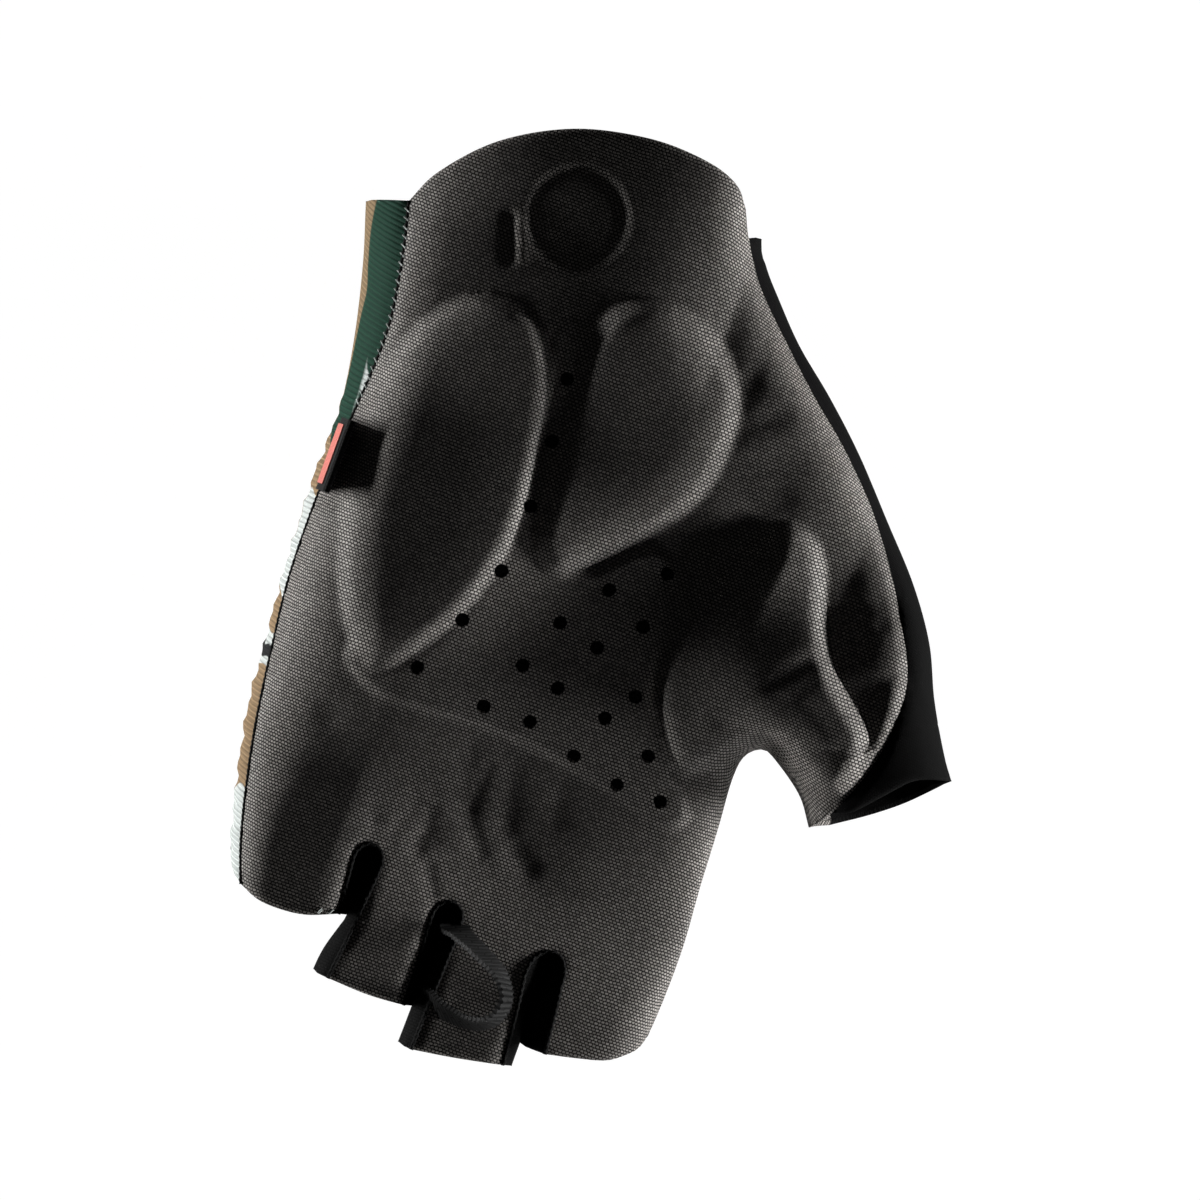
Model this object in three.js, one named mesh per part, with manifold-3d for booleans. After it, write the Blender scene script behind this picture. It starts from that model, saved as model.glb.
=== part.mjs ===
// Fingerless mountain bike glove for the left hand, lying on its back with the palm up.
// It is sewn from flat panels: a synthetic leather palm, a knitted back, a microfibre thumb back,
// knitted strips along the sides of the fingers, a lining, a foam sheet and three gel pads.
// Frame: +Z out of the palm, fingers towards -Y, thumb on the +X side, and the origin at the
// middle of the flat patch of the back that the glove lies on. Millimetres.
import * as THREE from "three";
import { mergeVertices } from "three/addons/utils/BufferGeometryUtils.js";
import Module from "manifold-3d";

const wasm = await Module();
wasm.setup();

// Overall size. The pattern's places are drawn for the two sizes after it, and stretch with it.
const gloveLength = 172.9; // end of the middle finger to the crown of the wrist flap
const gloveWidth = 139.1; // ulnar corner of the cuff to the end of the thumb
const drawnLength = 172.9;
const drawnWidth = 139.1;
const stretchX = gloveWidth / drawnWidth;
const stretchY = gloveLength / drawnLength;
const spot = ([x, y]) => [x * stretchX, y * stretchY];

// Cloth thicknesses and the gaps between neighbouring pieces.
const wall = 1.2; // palm, back and side panels
const liningWall = 0.6;
const hemWall = 0.6;
const foamHeight = 1.2;
const padHeight = 4.5;
const seamGap = 0.3; // between panels that are sewn edge to edge
const hingeGap = 0.4; // round a finger's bend
const slitWidth = 0.8; // between neighbouring fingers

// Fingers, from the little finger to the index finger.
const littleLeft = -47.4; // ulnar side of the little finger
const littleWidth = 24.4;
const ringWidth = 16.4;
const middleWidth = 20.4;
const indexWidth = 22.4;
const littleTip = -71.6; // where each finger ends
const ringTip = -82.2;
const middleTip = -88;
const indexTip = -79.6;
const middleSlant = 3; // how much further the ulnar side of an end reaches
const indexSlant = 4;
const littleCrotch = -56.9; // where the slits between the fingers end
const ringCrotch = -61.9;
const middleCrotch = -64.3;
const fingerHeight = 19; // palm side to back
const fingerAxisHeight = 15; // above the table
const fingerRound = 7;
const hemWidth = 4;

// Thumb, in its own direction.
const thumbTurn = 40; // degrees from the fingers' direction
const thumbWidth = 32.6; // at its base
const thumbLength = 17.4; // from the crotch beside the index finger
const thumbHeight = 25;
const thumbAxisHeight = 19;
const thumbInnerTaper = 3.5; // how much its end is narrower on each side
const thumbOuterTaper = 2;
const webGap = 1.4; // from the index finger to the thumb's crotch
const webHeight = -15.2; // y of that crotch

// Hand and cuff.
const cuffLeft = spot([-64.5, 55.3]); // corners of the back's cuff edge
const cuffRight = spot([6.9, 73.8]);
const flapLeft = spot([-56.5, 57.6]); // corners of the palm's wrist flap
const flapRight = spot([2.3, 77.2]);
const flapHeight = 13.8; // crown of the flap above its corners
const palmHeight = 33; // palm side above the table, at mid palm
const cuffTop = 39;
const cuffBottom = 4;
const edgeRound = 18; // how far the rounding of the hand's edges reaches in
const edgeShare = 0.46; // share of the half height that stands as a side wall
const seamInset = 2.2; // palm seam inside the little finger's edge
const bandWidth = 7; // elastic band in the back's cuff
const bandWall = 0.8;

// Details of the palm.
const padShoulder = 8; // width of a pad's rounded edge
const foamShoulder = 3;
const perforation = 3; // diameter
const badgeRadius = 9.6; // round recess at the wrist
const badgeDepth = 0.5;
const ribbonWidth = 6.5; // pull loop
const ribbonWall = 1;
const loopReach = 14.5;
const loopSpan = 14;
const loopTilt = 45; // degrees that the loop stands up from the finger
const labelLength = 14; // folded label in the ulnar seam
const labelHeight = 8.5;
const labelWall = 1;
const labelLean = 12; // degrees towards the palm
const labelPlace = 9; // y of its middle

const gridStep = 6.5; // facets of the soft surfaces
const sky = 70; // above everything
const ground = -10;

// Plain vector help.
const rad = THREE.MathUtils.degToRad;
const { clamp, lerp, smoothstep } = THREE.MathUtils;
const mixPoint = (a, b, t) => [lerp(a[0], b[0], t), lerp(a[1], b[1], t)];

// A chord from one point to another, bowed to its left by [share of its length, millimetres].
function bowed(from, to, bows, steps = 28) {
  const [dx, dy] = [to[0] - from[0], to[1] - from[1]];
  const length = Math.hypot(dx, dy);
  const knots = [[0, 0], ...bows, [1, 0]].map(
    ([share, bow]) =>
      new THREE.Vector2(
        from[0] + dx * share - (dy / length) * bow,
        from[1] + dy * share + (dx / length) * bow,
      ),
  );
  return new THREE.SplineCurve(knots).getPoints(steps).map((p) => [p.x, p.y]);
}

// Smooth value through [place, value] pairs.
function through(pairs, at) {
  const last = pairs.length - 1;
  if (at <= pairs[0][0]) return pairs[0][1];
  if (at >= pairs[last][0]) return pairs[last][1];
  const i = pairs.findIndex(([place]) => place > at) - 1;
  const [[x0, v0], [x1, v1]] = [pairs[i], pairs[i + 1]];
  return lerp(v0, v1, smoothstep(at, x0, x1));
}

// Distance from a point to an open line of points, positive on the line's right-hand side.
function besideLine(line, x, y) {
  let best = Infinity;
  let signed = 0;
  for (let i = 0; i + 1 < line.length; i++) {
    const [ax, ay] = line[i];
    const [dx, dy] = [line[i + 1][0] - ax, line[i + 1][1] - ay];
    const t = clamp(((x - ax) * dx + (y - ay) * dy) / (dx * dx + dy * dy), 0, 1);
    const distance = Math.hypot(x - ax - t * dx, y - ay - t * dy);
    if (distance < best) {
      best = distance;
      signed = dy * (x - ax) - dx * (y - ay) > 0 ? distance : -distance;
    }
  }
  return signed;
}

// Depth of a point inside a closed loop, and 0 outside it.
function depthInside(loop, x, y) {
  let inside = false;
  let best = Infinity;
  loop.forEach(([ax, ay], i) => {
    const [bx, by] = loop[(i + 1) % loop.length];
    if (ay > y !== by > y && x < ((bx - ax) * (y - ay)) / (by - ay) + ax) inside = !inside;
    const [dx, dy] = [bx - ax, by - ay];
    const t = clamp(((x - ax) * dx + (y - ay) * dy) / (dx * dx + dy * dy), 0, 1);
    best = Math.min(best, Math.hypot(x - ax - t * dx, y - ay - t * dy));
  });
  return inside ? best : 0;
}

// A closed loop through a few points.
function closedLoop(knots, steps = 40) {
  const curve = new THREE.CatmullRomCurve3(
    knots.map(([x, y]) => new THREE.Vector3(x, y, 0)),
    true,
  );
  return curve.getSpacedPoints(steps).slice(0, -1).map((p) => [p.x, p.y]);
}

// A loop moved inwards, or outwards for a negative distance. The loop runs anticlockwise.
function inset(loop, distance) {
  const area = loop.reduce((sum, [x, y], i) => {
    const [nx, ny] = loop[(i + 1) % loop.length];
    return sum + x * ny - nx * y;
  }, 0);
  const turn = Math.sign(area) * distance;
  return loop.map(([x, y], i) => {
    const before = loop[(i + loop.length - 1) % loop.length];
    const after = loop[(i + 1) % loop.length];
    const [dx, dy] = [after[0] - before[0], after[1] - before[1]];
    const length = Math.hypot(dx, dy) || 1;
    return [x - (dy / length) * turn, y + (dx / length) * turn];
  });
}

// The hand's plan
const widths = [littleWidth, ringWidth, middleWidth, indexWidth].map((width) => width * stretchX);
const ulnarSide = littleLeft * stretchX;
const fingerNames = ["little", "ring", "middle", "index"];
const tips = [littleTip, ringTip, middleTip, indexTip].map((y) => y * stretchY);
const slants = [0, 0, middleSlant, indexSlant];
const crotches = [littleCrotch, ringCrotch, middleCrotch].map((y) => y * stretchY);
const bendRadius = fingerHeight / 2 + 1.3;
const fingers = [];
for (let i = 0; i < widths.length; i++) {
  const left = i ? fingers[i - 1].right + slitWidth : ulnarSide;
  const nearCrotch = Math.min(...crotches.slice(Math.max(i - 1, 0), i + 1));
  fingers.push({
    name: fingerNames[i],
    left,
    right: left + widths[i],
    tip: tips[i],
    slant: slants[i],
    hinge: nearCrotch + 4.4, // y of the bend
  });
}
const slits = crotches.map((y, i) => ({ x: fingers[i].right + slitWidth / 2, y }));
const knuckleRight = fingers[3].right;

// Thumb axes in plan: along the thumb and across it, away from the index finger.
const thumbAlong = [Math.sin(rad(thumbTurn)), -Math.cos(rad(thumbTurn))];
const thumbAcross = [Math.cos(rad(thumbTurn)), Math.sin(rad(thumbTurn))];
const webPoint = [knuckleRight + webGap, webHeight * stretchY];
const atThumb = (across, along) => [
  webPoint[0] + thumbAcross[0] * across + thumbAlong[0] * along,
  webPoint[1] + thumbAcross[1] * across + thumbAlong[1] * along,
];
const fromThumb = (x, y) => {
  const [dx, dy] = [x - webPoint[0], y - webPoint[1]];
  return [dx * thumbAcross[0] + dy * thumbAcross[1], dx * thumbAlong[0] + dy * thumbAlong[1]];
};
const thumbBend = thumbHeight / 2 + 2.4; // radius of the thumb's bend
const thumbHinge = -6.5; // along the thumb, from the web point

// Edges of the hand in plan: silhouettes, palm seams and the edge of the wrist flap.
const ulnarEdge = bowed(
  cuffLeft,
  [ulnarSide, tips[0] + 6],
  [[0.2, 3.2], [0.29, 3.9], [0.43, 0.4], [0.57, -0.6], [0.77, -2.4], [0.925, -1]],
);
const radialEdge = bowed(
  cuffRight,
  atThumb(thumbWidth, 2),
  [[0.13, -0.9], [0.35, 1.6], [0.55, 3.2], [0.76, 3.5], [0.88, 2.7]],
);
const palmUlnarSeam = bowed(
  flapLeft,
  [ulnarSide + seamInset, tips[0] + 6],
  [
    [0.084, 1.8], [0.174, 2.7], [0.255, 1.6], [0.352, -0.9],
    [0.449, -2.9], [0.575, -4.1], [0.8, -3.3], [0.91, -1.7],
  ],
);
const palmRadialSeam = bowed(
  flapRight,
  atThumb(thumbWidth - 2.6, -3),
  [[0.158, -2.2], [0.29, -0.7], [0.4, 0.6], [0.52, 2.7], [0.66, 3.9], [0.8, 2.9], [0.92, 1]],
);
const flapEdge = bowed(
  flapRight,
  flapLeft,
  [[0.03, 0.32], [0.12, 0.62], [0.29, 0.89], [0.51, 1], [0.735, 0.81], [0.913, 0.39]].map(
    ([share, rise]) => [share, -rise * flapHeight * stretchY],
  ),
);
const indexSide = bowed(
  [knuckleRight, tips[3]],
  webPoint,
  [[0.2, -0.8], [0.4, 0.2], [0.57, 1.2], [0.74, 1.9], [0.92, 3.2]],
  18,
);
const thumbInnerEdge = bowed(webPoint, atThumb(thumbInnerTaper, thumbLength), [[0.35, 0.6]], 6);
const thumbOuterEdge = bowed(
  atThumb(thumbWidth - thumbOuterTaper, thumbLength),
  atThumb(thumbWidth, 2),
  [[0.5, -0.4]],
  4,
);

// A point run on past the cuff, square to its edge.
const cuffAcross = Math.hypot(cuffRight[0] - cuffLeft[0], cuffRight[1] - cuffLeft[1]);
const cuffOut = [(cuffLeft[1] - cuffRight[1]) / cuffAcross, (cuffRight[0] - cuffLeft[0]) / cuffAcross];
const beyondCuff = ([x, y]) => [x + cuffOut[0] * 20, y + cuffOut[1] * 20];

// The hand's loop in plan, without the free lengths of the fingers.
const fingerRoot = tips[0] + 6;
const rootEnd = fingerRoot - 9;
const handLoop = [
  ...ulnarEdge,
  [ulnarSide, rootEnd],
  [knuckleRight, rootEnd],
  ...indexSide.filter(([, y]) => y > rootEnd + 2),
  ...thumbInnerEdge.slice(1),
  ...thumbOuterEdge.slice(0, -1),
  ...radialEdge.toReversed(),
];
const palmLoop = [
  ...palmUlnarSeam,
  [ulnarSide + seamInset, fingerRoot - 20],
  [knuckleRight + 6, fingerRoot - 20],
  [knuckleRight + 6, webPoint[1] - 8],
  atThumb(-4, 12),
  atThumb(thumbWidth - 7, 12),
  ...palmRadialSeam.toReversed(),
  ...flapEdge.slice(1, -1),
];
// The same loop run on past the cuff and the finger roots, for the hollow inside.
const hollowLoop = [
  beyondCuff(cuffLeft),
  ...ulnarEdge,
  [ulnarSide, fingerRoot - 20],
  [knuckleRight, fingerRoot - 20],
  ...handLoop.slice(ulnarEdge.length + 2),
  beyondCuff(cuffRight),
];
const insideHand = inset(hollowLoop, wall);

// Heights of the surfaces. The crown falls off towards every edge of the glove.
const ramp = (depth, reach) => 1 - clamp(1 - depth / reach, 0, 1.25) ** 2;
const ulnarLine = [beyondCuff(cuffLeft), ...ulnarEdge, [ulnarSide, -120]];
const radialLine = [
  beyondCuff(cuffRight),
  ...radialEdge,
  thumbOuterEdge[0],
  atThumb(thumbWidth - 2 * thumbOuterTaper, 60),
];
const indexLine = [[knuckleRight, -120], ...indexSide];
const thumbLine = [...thumbInnerEdge, atThumb(thumbInnerTaper * 2, 60)];
const fingerTop = fingerAxisHeight + fingerHeight / 2;
const fingerBase = fingerAxisHeight - fingerHeight / 2;
const bendEnd = crotches[0] + 11; // the fingers' height runs on to here
const palmLine = [
  [bendEnd, fingerTop],
  [bendEnd + 32, palmHeight - 1],
  [20 * stretchY, palmHeight],
  [cuffLeft[1], cuffTop - 1],
  [cuffRight[1], cuffTop],
];
const backLine = [
  [bendEnd - 1, fingerBase],
  [bendEnd + 20, 0],
  [cuffLeft[1] - 12, 0],
  [cuffRight[1], cuffBottom],
];
const fingerAt = (x) =>
  fingers.find(({ right }) => x <= right + slitWidth / 2) ?? fingers[fingers.length - 1];

function crownAt(x, y) {
  const webDepth = Math.max(-besideLine(indexLine, x, y), -besideLine(thumbLine, x, y));
  const hand = Math.min(
    ramp(-besideLine(ulnarLine, x, y), edgeRound),
    ramp(besideLine(radialLine, x, y), edgeRound),
    ramp(webDepth, edgeRound * 0.7),
  );
  const { left, right } = fingerAt(x);
  const finger = ramp(Math.min(x - left, right - x), fingerRound);
  const shape = lerp(finger, hand, smoothstep(y, crotches[2] - 2, crotches[2] + 26));
  return edgeShare + (1 - edgeShare) * shape;
}
function thumbShare(x, y) {
  const [across, along] = fromThumb(x, y);
  return smoothstep(along, thumbHinge - 24, thumbHinge) * smoothstep(across, -12, 4);
}
function middleAt(x, y) {
  const hand = (through(palmLine, y) + through(backLine, y)) / 2;
  return lerp(hand, thumbAxisHeight, thumbShare(x, y));
}
function halfAt(x, y) {
  const hand = (through(palmLine, y) - through(backLine, y)) / 2;
  return lerp(hand, thumbHeight / 2, thumbShare(x, y)) * crownAt(x, y);
}

const drawnLoop = (knots) => closedLoop(knots.map(spot));

// Raised areas of the palm: three gel pads, and the foam sheet under the perforations.
const padLoops = {
  ulnar_pad: drawnLoop([
    [-33, 46], [-46.6, 37.5], [-51, 23], [-50.8, 8], [-44.6, -10], [-34, -25.5],
    [-24, -13], [-18, 6], [-19, 25],
  ]),
  thenar_pad: drawnLoop([
    [-15, 47.5], [-3, 55.5], [8.5, 50], [14, 37], [11, 21.5], [1, 8.5], [-7.5, 2], [-14, 9], [-15.3, 28],
  ]),
  thumb_pad: drawnLoop([
    [29, 25], [37.4, 21.5], [42, 11.4], [46, 3], [43, -4], [34, -10],
    [26, -18], [20, -15], [17.4, -5], [20, 12],
  ]),
};
const foamLoop = drawnLoop([
  [-20, 44], [-20, 20], [-22, -5], [-36, -21], [-31, -29.5], [-7, -29.2], [10, -31], [26, -34.6], [30, -31],
  [19, -17], [17, 2], [6, 14], [-12, 4], [-16, 24],
]);
function padRise(x, y) {
  return Object.values(padLoops).reduce((rise, loop) => {
    const share = clamp(1 - depthInside(loop, x, y) / padShoulder, 0, 1);
    return Math.max(rise, padHeight * Math.sqrt(1 - share * share));
  }, 0);
}
function foamRise(x, y) {
  return foamHeight * smoothstep(depthInside(foamLoop, x, y), 0, foamShoulder);
}
const skin = (x, y) => middleAt(x, y) + halfAt(x, y);
const foamTop = (x, y) => skin(x, y) + foamRise(x, y);
const palmTop = (x, y) => foamTop(x, y) + padRise(x, y);
const backFace = (x, y) => Math.max(0, middleAt(x, y) - halfAt(x, y));

// Geometry to solid and back.
function solid(geometry) {
  geometry.deleteAttribute("normal");
  geometry.deleteAttribute("uv");
  const merged = mergeVertices(geometry, 1e-4);
  return new wasm.Manifold(
    new wasm.Mesh({
      numProp: 3,
      vertProperties: new Float32Array(merged.attributes.position.array),
      triVerts: new Uint32Array(merged.index.array),
    }),
  );
}
function prism(loop, low = ground, high = sky) {
  const shape = new THREE.Shape(loop.map(([x, y]) => new THREE.Vector2(x, y)));
  const geometry = new THREE.ExtrudeGeometry(shape, { depth: high - low, bevelEnabled: false });
  return solid(geometry.translate(0, 0, low));
}
function box(x0, y0, x1, y1, low = ground, high = sky) {
  const geometry = new THREE.BoxGeometry(x1 - x0, y1 - y0, high - low);
  return solid(geometry.translate((x0 + x1) / 2, (y0 + y1) / 2, (low + high) / 2));
}
function rod(centre, direction, radius, length, sides = 40) {
  const geometry = new THREE.CylinderGeometry(radius, radius, length, sides);
  const turn = new THREE.Quaternion().setFromUnitVectors(new THREE.Vector3(0, 1, 0), direction);
  return solid(geometry.applyQuaternion(turn).translate(...centre));
}

// Grid lines in plan, which keep to the sides of the fingers so that their crowns are even.
function gridAcross(shares, step) {
  const lines = [];
  for (let x = fingers[0].left - 5 * step; x < fingers[0].left - 1; x += step) lines.push(x);
  for (const { left, right } of fingers) {
    for (const share of shares) lines.push(lerp(left, right, share));
  }
  for (let x = knuckleRight + step; x < knuckleRight + 60; x += step) lines.push(x);
  return lines;
}
function gridAlong(from, to, step) {
  const count = Math.ceil((to - from) / step);
  return Array.from({ length: count + 1 }, (_, i) => lerp(from, to, i / count));
}
const sheetRows = [fingerRoot - 20, 100];
const handGrid = [gridAcross([0, 0.2, 0.5, 0.8, 1], gridStep), gridAlong(...sheetRows, gridStep)];
const backGrid = [gridAcross([0, 0.5, 1], gridStep * 1.5), gridAlong(...sheetRows, gridStep * 1.5)];
const fingerGrid = [
  gridAcross([0, 0.16, 0.5, 0.84, 1], gridStep),
  gridAlong(-110, crotches[2] + 25, gridStep * 1.4),
];

// A solid between two height functions over a grid.
function slab(low, high, [linesX, linesY] = handGrid) {
  const [nx, ny] = [linesX.length - 1, linesY.length - 1];
  const geometry = new THREE.BoxGeometry(nx, ny, 2, nx, ny, 1);
  const place = geometry.attributes.position;
  for (let i = 0; i < place.count; i++) {
    const x = linesX[Math.round(place.getX(i) + nx / 2)];
    const y = linesY[Math.round(place.getY(i) + ny / 2)];
    place.setXYZ(i, x, y, place.getZ(i) > 0 ? high(x, y) : low(x, y));
  }
  // Both faces get the same diagonals, so that a sheet is evenly thick.
  const corners = geometry.index.array;
  const { start, count } = geometry.groups[5];
  for (let i = start; i < start + count; i += 6) {
    const [a, b, d, , c] = corners.slice(i, i + 6);
    corners.set([a, b, c, a, c, d], i);
  }
  return solid(geometry);
}
const above = (height) => (x, y) => palmTop(x, y) + height;
const under = (height) => (x, y) => backFace(x, y) + height;
const overBack = (height) => slab(under(height), () => sky, backGrid);
const underPalm = (height) => slab(() => ground, above(height));
const fullBody = overBack(0).intersect(underPalm(0));
const hollow = overBack(wall).intersect(underPalm(-wall));
const palmSheet = slab(above(-wall), above(0));
const upperHalf = slab(middleAt, () => sky);
const lowerHalf = slab(() => ground, (x, y) => middleAt(x, y) - seamGap);

// Room that every finger and the thumb bends in: the hand keeps only what is within the bend.
const xAxis = new THREE.Vector3(1, 0, 0);
const thumbAxis = new THREE.Vector3(thumbAcross[0], thumbAcross[1], 0);
const thumbPivot = atThumb(thumbWidth / 2, thumbHinge);
const fingerBend = (finger, radius) =>
  rod([(finger.left + finger.right) / 2, finger.hinge, fingerAxisHeight], xAxis, radius, 60);
const thumbBendRod = (radius) => rod([...thumbPivot, thumbAxisHeight], thumbAxis, radius, 90);
const fingerZone = (finger, i) =>
  box(
    i === 0 ? finger.left - 20 : finger.left - slitWidth / 2,
    -100,
    i === 3 ? finger.right + 20 : finger.right + slitWidth / 2,
    finger.hinge,
  );
const thumbZone = prism([
  atThumb(-1, thumbHinge),
  atThumb(-1, 60),
  atThumb(80, 60),
  atThumb(80, thumbHinge),
]);
let bendRoom = thumbZone.subtract(thumbBendRod(thumbBend));
fingers.forEach((finger, i) => {
  // The index finger's zone stops short of the thumb.
  const zone = i === 3 ? fingerZone(finger, i).subtract(thumbZone) : fingerZone(finger, i);
  bendRoom = bendRoom.add(zone.subtract(fingerBend(finger, bendRadius)));
});
for (const { x, y } of slits) {
  bendRoom = bendRoom.add(box(x - slitWidth / 2, -100, x + slitWidth / 2, y));
}

// Palm panel, with its flap, its perforations and the round recess of the badge.
const perforationPlaces = [
  [-17.9, 36.6], [-16.6, 24.9], [-16.2, 12.4], [-17.2, -0.6], [-20.9, -11.5], [-25.7, -22.6],
  [11.7, 9.4], [2.6, 2.9], [-3.8, -5.9], [-7.6, -15.6], [-11.8, -25.2],
  [10.8, -1.4], [4.2, -7.9], [-0.1, -17.4], [-2.8, -25],
  [13.9, -14], [10, -19.6], [7, -28.2], [19.9, -23.5], [16.3, -30.5], [24.9, -30.7],
];
const badgePlace = spot([-26.1, 64.9]);
const zAxis = new THREE.Vector3(0, 0, 1);
const handPrism = prism(handLoop);
const handShell = fullBody.intersect(handPrism).subtract(hollow.intersect(prism(insideHand)));
const palmPrism = prism(palmLoop);
const flapPrism = prism([...flapEdge, [flapLeft[0], flapLeft[1] - 12], [flapRight[0], flapRight[1] - 12]]);
const palmArea = handPrism.add(flapPrism).intersect(palmPrism);
const webStrip = prism([
  [knuckleRight - 8, fingerRoot - 20],
  [knuckleRight + 6, fingerRoot - 20],
  [knuckleRight + 6, webPoint[1] - 8],
  atThumb(3, 12),
  atThumb(3, -4),
  [knuckleRight - 8, webPoint[1] + 6],
]);
let palm = palmSheet.intersect(palmArea);
palm = palm.add(handShell.intersect(upperHalf).intersect(webStrip));
palm = palm.subtract(bendRoom);
for (const [x, y] of perforationPlaces.map(spot)) {
  palm = palm.subtract(rod([x, y, sky / 2], zAxis, perforation / 2, sky, 8));
}
const badgeSlab = slab(above(-badgeDepth), () => sky);
palm = palm.subtract(rod([...badgePlace, sky / 2], zAxis, badgeRadius, sky, 32).intersect(badgeSlab));

// Back panel and thumb back: everything of the shell that the palm leaves, parted by one seam.
const palmReach = prism(inset(palmLoop, -seamGap)).intersect(upperHalf);
const thumbSeam = bowed([-4, 90], atThumb(-1.5, -3), [[0.3, -4], [0.7, -3]], 16);
const thumbSide = prism([...thumbSeam, atThumb(-1.5, 40), [gloveWidth, -40], [gloveWidth, 90]]);
const thumbSideFar = prism([
  ...thumbSeam.map(([x, y]) => [x - seamGap, y]),
  atThumb(-1.5 - seamGap, 40),
  [gloveWidth, -40],
  [gloveWidth, 90],
]);
const shell = handShell.subtract(palmReach).subtract(bendRoom);
const back = shell.subtract(thumbSideFar);
const thumbGusset = shell.intersect(thumbSide);

// Layers inside the palm: pads, foam sheet and lining.
const foamWall = 1.2;
const behindPalm = (height) => (x, y) => foamTop(x, y) - wall - seamGap + height;
const padCeiling = above(-wall - seamGap);
const padFloor = behindPalm(seamGap);
const padSheet = slab((x, y) => Math.min(padFloor(x, y), padCeiling(x, y) - 0.2), padCeiling);
const pads = Object.entries(padLoops).map(([name, loop]) => [
  name,
  padSheet.intersect(prism(inset(loop, 1.6))),
]);
const foamGap = 0.25; // kept between the foam and the pads above it
const foamSheet = slab(behindPalm(-foamWall - foamGap), behindPalm(-foamGap));
const foam = foamSheet.intersect(prism(foamLoop));
const liningTop = (x, y) => skin(x, y) - wall - foamWall - 3 * seamGap;
const liningSheet = slab((x, y) => liningTop(x, y) - liningWall, liningTop, backGrid);
const liningInset = 3;
const liningEnd = fingers[0].hinge + bendRadius + 2;
const flapMiddle = mixPoint(flapLeft, flapRight, 0.5);
const liningLoop = [
  ...palmUlnarSeam.slice(1).filter(([, y]) => y > liningEnd).map(([x, y]) => [x + liningInset, y]),
  [ulnarSide, liningEnd],
  [knuckleRight - 5, liningEnd],
  [knuckleRight - 5, webPoint[1]],
  atThumb(0, thumbHinge - 1),
  atThumb(thumbWidth - 2.6 - liningInset, thumbHinge - 1),
  ...palmRadialSeam
    .slice(1)
    .toReversed()
    .filter(([x, y]) => fromThumb(x, y)[1] < thumbHinge - 2)
    .map(([x, y]) => [x - liningInset * 0.76, y - liningInset * 0.64]),
  ...flapEdge.map((point) => mixPoint(point, flapMiddle, 0.12)),
];
const lining = liningSheet.intersect(prism(liningLoop));

// Elastic band inside the back's cuff.
const bandSheet = slab(under(wall + seamGap), under(wall + seamGap + bandWall), backGrid);
const towardsHand = ([x, y], distance) => [x - cuffOut[0] * distance, y - cuffOut[1] * distance];
const bandInset = 9;
const bandEnds = [
  mixPoint(cuffLeft, cuffRight, bandInset / cuffAcross),
  mixPoint(cuffRight, cuffLeft, bandInset / cuffAcross),
];
const band = bandSheet.intersect(
  prism([
    towardsHand(bandEnds[0], bandWidth + 1),
    towardsHand(bandEnds[1], bandWidth + 1),
    towardsHand(bandEnds[1], 1),
    towardsHand(bandEnds[0], 1),
  ]),
);

// Webs between the fingers: plates that close the hand on both sides of a slit.
const webSheet = overBack(wall + seamGap).intersect(underPalm(-wall - seamGap));
const webs = slits.map(({ x, y }, i) => {
  const sideOf = (finger, from, to) =>
    webSheet.intersect(box(from, -100, to, y - seamGap)).intersect(fingerBend(finger, bendRadius));
  return sideOf(fingers[i], x - wall - slitWidth / 2, x).add(
    sideOf(fingers[i + 1], x, x + wall + slitWidth / 2),
  );
});

// Fingers: front, back, side strips and the folded hem tape inside the end.
const fingerBody = slab(under(0), above(0), fingerGrid);
const fingerHollow = slab(under(wall), above(-wall), fingerGrid);
const hemOuter = slab(under(wall + seamGap), above(-wall - seamGap), fingerGrid);
const hemInner = slab(under(wall + seamGap + hemWall), above(-wall - seamGap - hemWall), fingerGrid);
const fingerUpper = slab(middleAt, () => sky, fingerGrid);
const fingerLower = slab(() => ground, (x, y) => middleAt(x, y) - seamGap, fingerGrid);
const sideLip = [0, 2.5, 3.4, 4.4]; // palm side width of each finger's ulnar strip
function fingerLoop({ left, right, tip, slant, hinge }, side, past) {
  return [
    [left + side, hinge],
    [left + side, tip - slant / 2 - past],
    [right - side, tip + slant / 2 - past],
    [right - side, hinge],
  ];
}
const littleCorner = 9; // rounded outer corner of the little finger's end
function fingerPlan(finger, i, side, past) {
  const plan = prism(fingerLoop(finger, side, past));
  if (i > 0) return plan;
  const x = finger.left + side + littleCorner;
  const y = finger.tip - past + littleCorner;
  const corner = box(x - littleCorner - 1, y - littleCorner - 1, x, y);
  return plan.subtract(corner.subtract(rod([x, y, sky / 2], zAxis, littleCorner, 2 * sky, 24)));
}
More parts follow.
